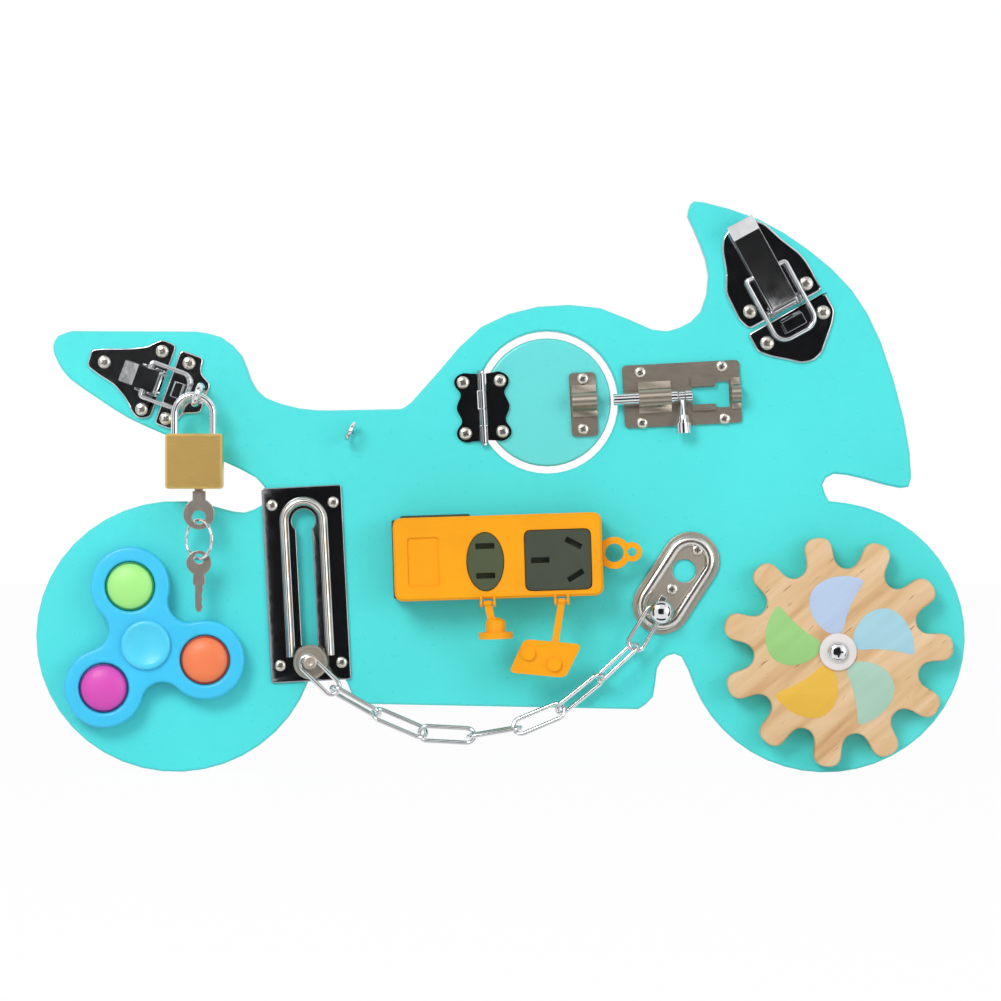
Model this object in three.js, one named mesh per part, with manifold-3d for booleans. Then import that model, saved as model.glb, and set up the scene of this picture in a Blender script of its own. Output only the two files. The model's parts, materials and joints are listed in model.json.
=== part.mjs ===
// Busy board: a motorcycle-shaped panel that carries latches, a lock, a chain, a gear and a spinner.
// Millimetres, +Z up. The panel's back lies on the plane Y = 0 and its fittings point towards -Y.
import * as THREE from 'three';
import { mergeVertices } from 'three/addons/utils/BufferGeometryUtils.js';
import Module from 'manifold-3d';

const wasm = await Module();
wasm.setup();

// Scale of the photograph
const BOARD_LENGTH = 400;
const BOARD_LENGTH_PX = 929;
const MM_PER_PX = BOARD_LENGTH / BOARD_LENGTH_PX;
const ORIGIN_PX = [500.5, 487];
// Fittings are drawn on squared paper laid over them, 400 squares to the board's length
const SQUARES_IN_LENGTH = 400;
const SQUARE = BOARD_LENGTH / SQUARES_IN_LENGTH;

// Shared sizes
const BOARD_THICKNESS = 9;
const BOARD_EDGE = 0.8;
const SEAT_GAP = 0.3;
const RUN_GAP = 0.35;
const PLATE_THICKNESS = 1.2;
const PLATE_TOP = SEAT_GAP + PLATE_THICKNESS;
const PLATE_CORNER = 2;
const SCREW_HOLE = 1.6;
const SINK = 0.3;
const CURVE_STEPS = 4;
const SPLINE_STEPS = 2;
const WHEEL_STEPS = 32;
const ARC_STEPS = 6;
const RIM_SIDES = 26;
const CORNER_STEPS = 3;
const BAIL_STEPS = 36;
const BAIL_CORNER_STEPS = 4;
const ARCH_STEPS = 22;
const SHACKLE_STEPS = 26;
const CROWN_STEPS = 12;
const ROUND_SIDES = 20;
const SMALL_SIDES = 10;
const WIRE_SIDES = 6;
const BORE_DEPTH = 7;

// Panel outline, pixels of the photograph
const TAIL_START_PX = [54.4, 354.5];
const TAIL_TIP_PX = [[53, 346], [58, 336], [72, 331]];
const SEAT_START_PX = [195, 331.5];
const SEAT_CURVE_PX = [[221, 337], [242, 356], [251, 380], [265, 397.5], [299.5, 408.4], [328, 410.4]];
const TANK_START_PX = [400, 409];
const TANK_CURVE_PX = [[411, 402.6], [440, 370], [481, 327], [538, 306.6], [600, 308], [652, 329.5]];
const HANDLE_CURVE_PX = [[678.5, 328], [701, 311], [708.5, 275], [700, 244], [687.6, 216]];
const LAMP_CURVE_PX = [[691, 203.5], [704.6, 202.4], [758.5, 219], [809, 250], [852, 290], [881, 342]];
const FORK_CURVE_PX = [[904, 419], [911.4, 477.5], [900.6, 488], [865, 479], [834, 473.6], [822.5, 485], [829, 501]];
const FRONT_WHEEL_PX = [825, 637];
const FRONT_WHEEL_START_PX = [848, 503.4];
const FRONT_WHEEL_END_PX = [694, 684.8];
const REAR_WHEEL_PX = [176, 636.5];
const REAR_WHEEL_START_PX = [308, 681.6];
const REAR_WHEEL_END_PX = [225, 509.6];
const WHEEL_HALF_WIDTH_PX = 140;
const WHEEL_HALF_HEIGHT_PX = 135.5;
const BELLY_NOTCH_PX = [[682, 657], [667, 656], [657, 669], [653, 697], [638, 709.3]];
const BELLY_END_PX = [366, 704];
const STAND_NOTCH_PX = [[352, 695], [347, 682], [330, 666], [314, 670]];
const FENDER_CURVE_PX = [[244, 512.7], [262, 505], [268, 496], [256.5, 478], [225.5, 462.6]];
const TAIL_CURVE_PX = [[168, 436], [130, 419], [100, 400], [70, 379], [59, 364.5]];

// Round door and its hinge
const DOOR_CENTRE_PX = [547, 402.3];
const DOOR_HOLE_RADIUS = 30.65;
const DOOR_RADIUS = 27.57;
const DOOR_SIDES = 44;
const HINGE_CENTRE_PX = [485, 407];
const HINGE_TURN = 3;
const HINGE_AXIS_HEIGHT = 2;
const KNUCKLE_RADIUS = HINGE_AXIS_HEIGHT - SEAT_GAP;
const HINGE_PIN_RADIUS = 0.9;
const HINGE_HEAD_RADIUS = 1.5;
const HINGE_HEAD_LENGTH = 0.8;
const KNUCKLE_GAP = 0.15;
const HINGE_AXIS_SQUARES = [-1, 0];
const KNUCKLES = 4;
const KNUCKLE_ENDS_SQUARES = [[0, 14.5], [0, 7], [0, -0.7], [0, -8], [0, -15.5]];
const FIXED_LEAF_SQUARES = [[-1, 14.3], [-6, 14.6], [-9, 15.2], [-12.6, 13], [-12.8, 9.5], [-9.6, 6.2],
  [-12.6, 0], [-9.6, -6.2], [-12.8, -9.5], [-12.6, -13], [-9, -15.2], [-6, -14.6], [-1, -14.3]];
const DOOR_LEAF_SQUARES = [[-1, 14.3], [4, 14.6], [7, 15.2], [10.7, 13], [10.9, 9.5], [8.1, 6.2],
  [11, 0], [8.1, -6.2], [10.9, -9.5], [10.7, -13], [7, -15.2], [4, -14.6], [-1, -14.3]];
const LEAF_CORNER = 2.2;
const FIXED_LEAF_SCREWS_SQUARES = [[-8.9, 11], [-8.9, -11]];
const DOOR_LEAF_SCREWS_SQUARES = [[7, 11], [7, -11]];

// Barrel bolt
const BOLT_CENTRE_PX = [650, 397];
const BOLT_TURN = 3;
const BOLT_PLATE_SQUARES = [[-11.5, -13], [39, -13], [39, 14], [-11.5, 14]];
const BOLT_SCREWS_SQUARES = [[-3.7, 10.7], [31.5, 11.5], [-4, -11], [31.5, -11]];
const BOLT_WINDOW_SQUARES = [[18, -4.3], [28, -4.3], [28, -6], [34, -6], [34, 5], [28, 5], [28, 3], [18, 3]];
const BOLT_AXIS_SQUARES = [0, -0.5];
const BOLT_ROD_HEIGHT = 5.2;
const BOLT_ROD_RADIUS = 2.5;
const BOLT_BORE_GAP = 0.55;
const BOLT_ROD_ENDS_SQUARES = [[-15.9, 0], [18, 0]];
const BOLT_LOOP_WALL = 1.05;
const BOLT_LOOP_SQUARES = [[-5, 0], [9, 0]];
const BOLT_END_LOOP_SQUARES = [[35, 0], [38.8, 0]];
const BOLT_FLANGE_SQUARES = [[0, -7], [0, 6.5]];
const BOLT_FLANGE_THICKNESS = 0.9;
const BOLT_STRIPS_SQUARES = [[[18, 3.4], [28, 7.2]], [[18, -7], [28, -4.6]]];
const BOLT_STRIP_TOP = 3.2;
const BOLT_SLOT_START_SQUARES = [3, 0];
const BOLT_SLOT_HALF = 2.1;
const KNOB_TILT = 2.5;
const KNOB_PLACE_SQUARES = [13.45, 0];
const KNOB_RING_HALF = 1.3;
const KNOB_RING_INNER = 1.5;
const KNOB_RING_OUTER = 2.15;
const KNOB_GROOVE_RADIUS = 1.2;
const KNOB_STEM_RADIUS = 1.25;
const KNOB_STEM_END = 11.5;
const KNOB_LENGTH = 16;
const KNOB_RADIUS = 3.25;
const KNOB_NECK_SHARE = 0.72;
const DOOR_KEEPER_SQUARES = [[-34.5, -15.5], [-23, -15.5], [-23, 12], [-34.5, 12]];
const DOOR_KEEPER_LOOP_SQUARES = [[-33.6, 0], [-23.1, 0]];
const DOOR_KEEPER_SCREWS_SQUARES = [[-28.5, 9.3], [-29.5, -12.3]];

// Toggle latch
const LATCH_CENTRE_PX = [775, 290];
const LATCH_TURN = 28.6;
const LATCH_PLATE_SQUARES = [[-4, 33], [4, 33], [7.5, 30], [10, 27], [13, 18], [17, 9], [18, 4], [18, -9.7],
  [-18, -9.7], [-20, -4], [-19.5, 9], [-15, 17], [-12, 26], [-9, 30.5]];
const LATCH_PLATE_SCREWS_SQUARES = [[-14, -3], [13, -4]];
const LATCH_KEEPER_SQUARES = [[-19.5, -11], [18.5, -11], [18.5, -20], [15, -24.5], [10, -29], [5, -33.5], [0, -34.8],
  [-5, -33.5], [-10, -29], [-15.5, -24.5], [-19.5, -20]];
const LATCH_KEEPER_SCREWS_SQUARES = [[-14, -18.4], [13.5, -18.4]];
const LATCH_PIVOT_SQUARES = [0, -8];
const LATCH_PIVOT_HEIGHT = 4;
const LATCH_PIN_RADIUS = 1;
const LATCH_LEVER_HALF = 6.2;
const LATCH_LEVER_WALL = 1.1;
const LATCH_LEVER_SQUARES = [[0, -7], [0, 26.5], [0, 33]];
const LATCH_LEVER_TOP = 8.2;
const LATCH_TAB_RISE = 1.4;
const LATCH_EAR_SQUARES = [[0, -10.4], [0, -5.4]];
const LATCH_EAR_TOP = 6.4;
const LATCH_EAR_THICKNESS = 0.8;
const LATCH_HEAD_LENGTH = 0.5;
const LATCH_HEAD_RADIUS = 1.6;
const BAIL_WIRE_RADIUS = 0.95;
const LATCH_BAIL_HEIGHT = 5;
const LATCH_BAIL_HALF = 9.5;
const LATCH_BAIL_ENDS_SQUARES = [[0, 9], [0, -21.4]];
const LATCH_BAIL_CORNER = 5.5;
const LATCH_HOOK_HALF = 4.9;
const LATCH_HOOK_SQUARES = [[-12.4, 0], [-13.8, 0], [-18.9, 0]];
const LATCH_HOOK_TOP = 8;
const HOOK_WALL = 1.2;

// Hasp with its lever and staple
const HASP_CENTRE_PX = [163, 385];
const HASP_TURN = 70;
const HASP_PLATE_SQUARES = [[-3.5, 33.5], [4, 34], [6.6, 28], [9.4, 20], [13, 12.4], [18.4, 7], [18, 0.2], [-15, 0.2],
  [-17.3, 4.5], [-16, 8], [-11, 13], [-7, 20], [-5.6, 27]];
const HASP_PLATE_SCREWS_SQUARES = [[0.6, 27], [-13, 5], [13.5, 5.2]];
const HASP_STAPLE_SQUARES = [[-17, -2], [17, -2], [17, -12.6], [10.4, -13.6], [7.4, -19.4], [-6, -19.4],
  [-9, -12], [-17, -10.6]];
const HASP_STAPLE_SCREWS_SQUARES = [[-13.2, -6.2], [12.6, -7.4]];
const HASP_PIVOT_SQUARES = [0, 1.8];
const HASP_PIVOT_HEIGHT = 4;
const HASP_PIN_RADIUS = 0.9;
const HASP_LEVER_HALF = 4.6;
const HASP_LEVER_WALL = 1;
const HASP_LEVER_SQUARES = [[0, 2.6], [0, 12], [0, 18]];
const HASP_LEVER_TOP = 7.4;
const HASP_EAR_SQUARES = [[0, 0.4], [0, 11]];
const HASP_EAR_TOP = 6.4;
const HASP_EAR_INNER = 4.95;
const HASP_EAR_THICKNESS = 1;
const HASP_EAR_SLOT_SQUARES = [[0, 4.8], [0, 11.6]];
const HASP_BAIL_HALF = 7.8;
const HASP_BAIL_HEIGHT = 5;
const HASP_BAIL_ENDS_SQUARES = [[0, 7.4], [0, -11]];
const HASP_BAIL_CORNER = 4;
const HASP_HOOK_HALF = 3.4;
const HASP_HOOK_SQUARES = [[-4.2, 0], [-5.2, 0], [-8.9, 0]];
const HASP_HOOK_TOP = 7.4;
const STAPLE_WIRE_RADIUS = 1.5;
const STAPLE_LEG_PX = [197, 404];
const STAPLE_SPAN = 7.6;
const STAPLE_BEND_SHARE = 0.3;

// Padlock, keys and ring
const LOCK_CENTRE_PX = [196.95, 461.6];
const LOCK_HEIGHT_ABOVE = 14.2;
const LOCK_WIDTH = 24.4;
const LOCK_HEIGHT = 23.5;
const LOCK_THICKNESS = 11;
const LOCK_CORNER = 1.6;
const LOCK_EDGE = 0.9;
const SHACKLE_RADIUS = 1.6;
const SHACKLE_SPAN = 16.4;
const SHACKLE_TOP_PX = [196.25, 392.4];
const SHACKLE_LONG_LEG = 14;
const SHACKLE_SHORT_LEG = 2.6;
const LOCK_BORE_EXTRA = 1.5;
const PLUG_RADIUS = 3.4;
const PLUG_LENGTH = 9;
const PLUG_SLOT_HALF = 2.15;
const PLUG_SLOT_DEPTH = 8;
const KEY_THICKNESS = 1.6;
const KEY_X_PX = [201.3, 461.6];
const KEY_BLADE_HALF = 1.8;
const KEY_BLADE_TOP_SHARE = 0.85;
const KEY_NECK_PX = [[195, 491.2], [208, 502.5]];
const KEY_BOW_PX = [201.3, 513.9];
const KEY_BOW_RADIUS = 6.7;
const KEY_HOLE_PX = [201.3, 517];
const KEY_HOLE_RADIUS = 2.9;
const RING_TOP_PX = [201.3, 519.8];
const RING_BOTTOM_PX = [201.3, 558.35];
const RING_WIRE_RADIUS = 0.75;
const RING_TURN = -45;
const RING_STEPS = 20;
const SPARE_BOW_PX = [201.3, 562.4];
const SPARE_BOW_RADIUS = 5.4;
const SPARE_HOLE_PX = [201.3, 558.2];
const SPARE_HOLE_RADIUS = 2.1;
const SPARE_BLADE_PX = [[196.6, 570], [195.2, 577], [195.2, 583], [197.4, 585.5], [197.4, 606], [199.4, 611],
  [203.2, 611], [205.2, 606], [203.9, 602], [205.2, 598.5], [203.9, 595], [205.2, 590], [205.2, 585.5],
  [207.4, 583], [207.4, 577], [206, 570]];

// Keyhole track and its slide button
const TRACK_CENTRE_PX = [307, 585];
const TRACK_TURN = 3;
const TRACK_PLATE_SQUARES = [[-17.5, -41.5], [17, -41.5], [17, 42.5], [-17.5, 42.5]];
const TRACK_SCREWS_SQUARES = [[-13.2, 35], [13.2, 35], [-13.2, -34], [13.2, -34]];
const TRACK_ARCH_SQUARES = [0, 27.7];
const TRACK_FOOT_SQUARES = [0, -33];
const TRACK_KEYHOLE_RADIUS = 5;
const TRACK_SLOT_HALF = 3.4;
const RAIL_OUTER = 10.3;
const RAIL_INNER = 6.5;
const RAIL_TOP = 4;
const RAIL_END_SQUARES = [0, -30.6];
const POCKET_HALF = 6;
const POCKET_DEPTH = 4;
const BUTTON_RADIUS = 7.4;
const BUTTON_THICKNESS = 1.8;
const BUTTON_NECK_RADIUS = 2.9;
const BUTTON_FOOT_RADIUS = 4.6;
const BUTTON_FOOT_THICKNESS = 1.4;
const BUTTON_FOOT_DROP = 1.2;
const BUTTON_POST_RADIUS = 0.7;
const BUTTON_RIVET_RADIUS = 3.1;
const BUTTON_RIVET_THICKNESS = 1.1;

// Chain and its anchor
const CHAIN_JOINTS_PX = [[308, 662], [335.4, 688.8], [377.2, 712.4], [423, 732], [471.4, 734.6],
  [517, 726.8], [560.3, 708.5], [599.5, 677], [633.5, 645.7], [655, 610]];
const CHAIN_ROLLS = [0, 64, 130, 22, 92, 160, 50, 114, 0];
const CHAIN_HEIGHT = 8.4;
const LINK_WIRE_RADIUS = 1.05;
const LINK_BEND_RADIUS = 3.45;
const LINK_OVERLAP = 1.5;
const FIRST_LINK_REACH = 1.2;
const LINK_BEND_STEPS = 6;
const ANCHOR_CENTRE_PX = [676, 583];
const ANCHOR_TURN = -33;
const ANCHOR_HALF_LENGTH = 24;
const ANCHOR_HALF_WIDTH = 12.5;
const ANCHOR_RIM_OUTER = 10.5;
const ANCHOR_RIM_INNER = 6.2;
const ANCHOR_RIM_TOP = 2.8;
const ANCHOR_HOLE_SQUARES = [0, 6.3];
const ANCHOR_HOLE_RADIUS = 5;
const ANCHOR_SCREWS_SQUARES = [[0, 17]];
const ANCHOR_POST_RADIUS = 1.3;
const ANCHOR_BRIDGE_HALF = 1.6;
const ANCHOR_BRIDGE_TOP = 10.9;
const ANCHOR_BRIDGE_THICKNESS = 1.3;
const ANCHOR_BRIDGE_SPAN = 7;

// Socket toy and its caps
const SOCKET_CENTRE_PX = [500, 580];
const SOCKET_TURN = 1.8;
const SOCKET_BASE_SQUARES = [[-45.8, -6.6], [43, -6.6], [43, 27.2], [-12, 27.2], [-12, 28.9], [-42, 28.9],
  [-42, 27.2], [-45.8, 27.2]];
const SOCKET_CASE_SQUARES = [[-45, -7.5], [44, -7.5], [44, 28], [-45, 28]];
const SOCKET_CORNER = 4;
const SOCKET_BASE_TOP = 7;
const SOCKET_CASE_TOP = 21;
const SOCKET_EDGE = 1;
const SOCKET_WALL = 2.4;
const SOCKET_HOLLOW_TOP = 13;
const SOCKET_LABEL_SQUARES = [[-39, -1.5], [-25.5, -1.5], [-25.5, 19.5], [-39, 19.5]];
const SOCKET_LABEL_DEPTH = 0.8;
const SOCKET_LABEL_CORNER = 1.5;
const OVAL_CENTRE_SQUARES = [-6, 8.4];
const OVAL_HALF_WIDTH = 7.8;
const OVAL_HALF_HEIGHT = 12.4;
const OVAL_SLOTS_SQUARES = [[[-10, 15], [-2, 15]], [[-10, 2.4], [-2, 2.4]]];
const SQUARE_INSERT_SQUARES = [[11, -4.5], [39, -4.5], [39, 21], [11, 21]];
const SQUARE_INSERT_CORNER = 3;
const SQUARE_SLOTS_SQUARES = [[[13.5, 8.3], [21.3, 8.3]], [[28.5, 17], [35, 13.3]], [[29, -0.5], [35.5, 3.2]]];
const INSERT_FLOOR = 15;
const INSERT_RISE = 0.6;
const INSERT_SLOT_HALF = 1.15;
const INSERT_SLOT_DEPTH = 4.5;
const HANG_RING_SQUARES = [49.2, 10.3];
const HANG_RING_RADIUS = 6.9;
const HANG_RING_HOLE = 4;
const HANG_TIP_SQUARES = [56.9, 10.5];
const HANG_TIP_RADIUS = 4.2;
const HANG_TIP_HOLE = 1.9;
const HANG_BOTTOM = 9;
const HANG_TOP = 13;
const HANG_FOOT_SQUARES = [[44.3, 6.8], [46, 13.8]];
const CAP_AXIS_DROP = 1.9;
const CAP_AXIS_HEIGHT = 21.6;
const CAP_STRAP_THICKNESS = 1.2;
const CAP_BARREL_RADIUS = 1.3;
const CAP_PIN_RADIUS = 0.7;
const CAP_LUG_THICKNESS = 1;
const CAP_SIDE_GAP = 0.7;
const CAP_LUG_RADIUS = 1.8;
const CAP_LUG_OVERHANG = 1.2;
const ROUND_STRAP_SQUARES = [[-5.5, -7.5], [-4, -17]];
const ROUND_STRAP_HALF = 1.6;
const ROUND_DOME_SQUARES = [[-6.7, -22], [1.7, -22], [1.7, -17], [-0.6, -15.6], [-4.4, -15.6], [-6.7, -17]];
const ROUND_FLANGE_SQUARES = [[-10, -24.5], [4.5, -24.5], [4.5, -21.7], [-10, -21.7]];
const ROUND_CAP_HALF = 3.6;
const ROUND_FLANGE_HALF = 6.4;
const SQUARE_STRAP_SQUARES = [[26, -7.5], [22.6, -27]];
const SQUARE_STRAP_HALF = 1.5;
const SQUARE_CAP_SQUARES = [[9.5, -25], [34, -28], [26.5, -42], [2.5, -39]];
const SQUARE_CAP_CORNER = 2.6;
const SQUARE_CAP_THICKNESS = 2.4;
const SQUARE_CAP_BUMPS_SQUARES = [[11, -31], [22, -36]];
const SQUARE_CAP_BUMP_RADIUS = 3;
const SQUARE_CAP_BUMP_RISE = 1.4;

// Gear and spinner
const GEAR_CENTRE_PX = [836, 651];
const GEAR_TEETH = 11;
const GEAR_TIP_RADIUS = 49.5;
const GEAR_ROOT_RADIUS = 36;
const GEAR_TOOTH_WIDTH = 11.6;
const GEAR_FIRST_TOOTH = 2.5;
const GEAR_BOTTOM = 1.5;
const GEAR_TOP = 10.5;
const GEAR_EDGE = 0.7;
const GEAR_BORE = 2.9;
const SPACER_BORE_LESS = 0.1;
const GEAR_WASHER_RADIUS = 8;
const WASHER_THICKNESS = 0.9;
const AXLE_RADIUS = 2.5;
const AXLE_HEAD_RADIUS = 4.5;
const AXLE_HEAD_THICKNESS = 2.2;
const SPINNER_CENTRE_PX = [148, 644];
const LOBE_ANGLES = [105.5, -14.5, -134.5];
const LOBE_DISTANCE = 26;
const LOBE_RADIUS = 17;
const WAIST_RADIUS = 9;
const SPINNER_BOTTOM = 2.5;
const SPINNER_TOP = 10.2;
const SPINNER_EDGE = 1.2;
const SPINNER_BORE = 3.4;
const SPINNER_POST_RADIUS = 3;
const SPINNER_POST_HEAD = 5.4;
const SPINNER_POST_TOP = 7.2;
const SPINNER_RECESS_RADIUS = 6;
const HUB_CAP_RADIUS = 10.6;
const HUB_CAP_TOP = 12.6;
const HUB_CAP_EDGE = 0.9;
const DOME_RADIUS = 10.3;
const DOME_BOTTOM = 7;
const DOME_SHOULDER = 10.4;
const DOME_TOP = 12.6;
const DOME_WALL = 1.6;
const DOME_SHOULDER_SHARE = 0.8;

// Screw eye
const EYE_CENTRE_PX = [351, 431.5];
const EYE_TURN = 62;
const EYE_RING_RADIUS = 3.7;
const EYE_WIRE_RADIUS = 1;
const EYE_HEIGHT = 6.4;
const EYE_STEPS = 14;

// Finishes: colour, roughness, metalness
const FINISHES = {
  teal: [0x5fc9c8, 0.5, 0],
  paleTeal: [0x8fdcd8, 0.5, 0],
  black: [0x2b2b2e, 0.35, 0.7],
  chrome: [0xd8dadd, 0.18, 1],
  steel: [0xa9acb0, 0.35, 1],
  brass: [0xc9a24a, 0.3, 1],
  orange: [0xf08a2c, 0.45, 0],
  grey: [0x565b60, 0.6, 0],
  sage: [0xa9b8b0, 0.5, 0],
  wood: [0xdcbc8c, 0.6, 0],
  white: [0xf0efec, 0.5, 0],
  sky: [0x8cc7e6, 0.45, 0],
  green: [0x8ccf5f, 0.45, 0],
  magenta: [0xd9508f, 0.45, 0],
};

// Solid helpers. Fittings are drawn on the panel's front sheet: x right, y up, z out of the panel.
function solid(geometry) {
  const bare = geometry.clone();
  bare.deleteAttribute('normal');
  bare.deleteAttribute('uv');
  const merged = mergeVertices(bare);
  const mesh = new wasm.Mesh({
    numProp: 3,
    vertProperties: merged.attributes.position.array,
    triVerts: new Uint32Array(merged.index.array),
  });
  return new wasm.Manifold(mesh);
}

function fromSolid(manifold) {
  const data = manifold.getMesh();
  const geometry = new THREE.BufferGeometry();
  geometry.setAttribute('position', new THREE.BufferAttribute(new Float32Array(data.vertProperties), 3));
  geometry.setIndex(new THREE.BufferAttribute(new Uint32Array(data.triVerts), 1));
  return geometry;
}

function shaped(added, removed = []) {
  let whole = solid(added[0]);
  for (const piece of added.slice(1)) {
    whole = whole.add(solid(piece));
  }
  for (const piece of removed) {
    whole = whole.subtract(solid(piece));
  }
  return fromSolid(whole);
}

const squares = (list) => list.map(([x, y]) => [x * SQUARE, y * SQUARE]);
const square = ([x, y]) => [x * SQUARE, y * SQUARE];
const fromPixel = ([x, y]) => [(x - ORIGIN_PX[0]) * MM_PER_PX, (ORIGIN_PX[1] - y) * MM_PER_PX];
const radians = THREE.MathUtils.degToRad;

// A closed outline whose corners are eased by curves that start a given length before each corner
function easedShape(points, ease) {
  const shape = new THREE.Shape();
  const corners = points.map(([x, y]) => new THREE.Vector2(x, y));
  if (THREE.ShapeUtils.isClockWise(corners)) {
    corners.reverse();
  }
  corners.forEach((corner, i) => {
    const before = corners[(i + corners.length - 1) % corners.length];
    const after = corners[(i + 1) % corners.length];
    const inward = Math.min(ease, corner.distanceTo(before) / 2);
    const outward = Math.min(ease, corner.distanceTo(after) / 2);
    const start = before.clone().sub(corner).setLength(inward).add(corner);
    const end = after.clone().sub(corner).setLength(outward).add(corner);
    if (i === 0) {
      shape.moveTo(start.x, start.y);
    } else {
      shape.lineTo(start.x, start.y);
    }
    shape.quadraticCurveTo(corner.x, corner.y, end.x, end.y);
  });
  shape.closePath();
  return shape;
}

function polygon(points) {
  return new THREE.Shape(points.map(([x, y]) => new THREE.Vector2(x, y)));
}

function sheet(shape, near, far, edge = 0, steps = CURVE_STEPS) {
  const bevel = edge > 0;
  const geometry = new THREE.ExtrudeGeometry(shape, {
    depth: far - near - 2 * edge,
    bevelEnabled: bevel,
    bevelThickness: edge,
    bevelSize: edge,
    bevelOffset: -edge,
    bevelSegments: 1,
    curveSegments: steps,
  });
  geometry.translate(0, 0, near + edge);
  return geometry;
}

function disc([x, y], radius, near, far, sides = ROUND_SIDES) {
  const geometry = new THREE.CylinderGeometry(radius, radius, far - near, sides);
  geometry.rotateX(Math.PI / 2);
  geometry.translate(x, y, (near + far) / 2);
  return geometry;
}

function block([x0, y0, z0], [x1, y1, z1]) {
  const geometry = new THREE.BoxGeometry(x1 - x0, y1 - y0, z1 - z0);
  geometry.translate((x0 + x1) / 2, (y0 + y1) / 2, (z0 + z1) / 2);
  return geometry;
}

function rod(from, to, radius, sides = ROUND_SIDES) {
  const start = new THREE.Vector3(...from);
  const along = new THREE.Vector3(...to).sub(start);
  const geometry = new THREE.CylinderGeometry(radius, radius, along.length(), sides);
  const turn = new THREE.Quaternion().setFromUnitVectors(new THREE.Vector3(0, 1, 0), along.clone().normalize());
  geometry.applyQuaternion(turn);
  const middle = start.addScaledVector(along, 0.5);
  geometry.translate(middle.x, middle.y, middle.z);
  return geometry;
}

// A profile drawn in y (along the sheet) and z (out of it), drawn out from x0 to x1
function acrossX(shape, x0, x1, edge = 0) {
  const geometry = sheet(shape, x0, x1, edge);
  const turn = new THREE.Matrix4().set(0, 0, 1, 0, 1, 0, 0, 0, 0, 1, 0, 0, 0, 0, 0, 1);
  geometry.applyMatrix4(turn);
  return geometry;
}

// A closed round wire whose middle line is a flat loop, given counter-clockwise in the x-y plane
function wireLoop(points, radius, sides = WIRE_SIDES) {
  const positions = [];
  const index = [];
  const count = points.length;
  points.forEach(([x, y], i) => {
    const [x0, y0] = points[(i + count - 1) % count];
    const [x1, y1] = points[(i + 1) % count];
    const length = Math.hypot(x1 - x0, y1 - y0);
    const outX = (y1 - y0) / length;
    const outY = (x0 - x1) / length;
    for (let s = 0; s < sides; s += 1) {
      const angle = (s / sides) * Math.PI * 2;
      const side = Math.cos(angle) * radius;
      positions.push(x + outX * side, y + outY * side, Math.sin(angle) * radius);
    }
  });
  for (let i = 0; i < count; i += 1) {
    for (let s = 0; s < sides; s += 1) {
      const a = i * sides + s;
      const b = i * sides + ((s + 1) % sides);
      const c = ((i + 1) % count) * sides + s;
      const d = ((i + 1) % count) * sides + ((s + 1) % sides);
      index.push(a, c, b, b, c, d);
    }
  }
  const geometry = new THREE.BufferGeometry();
  geometry.setAttribute('position', new THREE.Float32BufferAttribute(positions, 3));
  geometry.setIndex(index);
  return geometry;
}

function wireAlong(points, radius, steps, sides = SMALL_SIDES) {
  const section = new THREE.Shape();
  section.absarc(0, 0, radius, 0, Math.PI * 2);
  const path = new THREE.CatmullRomCurve3(points.map((p) => new THREE.Vector3(...p)), false, 'centripetal');
  return new THREE.ExtrudeGeometry(section, { steps, curveSegments: sides / 2, extrudePath: path });
}

function arcPoints([x, y], radius, from, to, steps) {
  const points = [];
  for (let i = 0; i <= steps; i += 1) {
    const angle = from + ((to - from) * i) / steps;
    points.push([x + Math.cos(angle) * radius, y + Math.sin(angle) * radius]);
  }
  return points;
}

// Placing on the panel
const panelFront = new THREE.Matrix4().set(1, 0, 0, 0, 0, 0, -1, -BOARD_THICKNESS, 0, 1, 0, 0, 0, 0, 0, 1);

function placeAt(centrePx, turn = 0) {
  const [x, y] = fromPixel(centrePx);
  const matrix = panelFront.clone();
  matrix.multiply(new THREE.Matrix4().makeTranslation(x, y, 0));
  matrix.multiply(new THREE.Matrix4().makeRotationZ(radians(turn)));
  return matrix;
}

const board = new THREE.Group();
board.name = 'busy_board';
const onSheet = placeAt(ORIGIN_PX);

function add(name, geometry, place, finish) {
  const placed = geometry.clone();
  placed.applyMatrix4(place);
  placed.computeVertexNormals();
  const [color, roughness, metalness] = FINISHES[finish];
  const mesh = new THREE.Mesh(placed, new THREE.MeshStandardMaterial({ color, roughness, metalness }));
  mesh.name = name;
  board.add(mesh);
}

// A pressed plate on the panel, with its screw holes
function plate(outline, corner, holes, near = SEAT_GAP, far = PLATE_TOP) {
  const shape = easedShape(squares(outline), corner);
  for (const [x, y] of squares(holes)) {
    const hole = new THREE.Path();
    hole.absarc(x, y, SCREW_HOLE, 0, Math.PI * 2, true);
    shape.holes.push(hole);
  }
  return sheet(shape, near, far);
}

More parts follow.
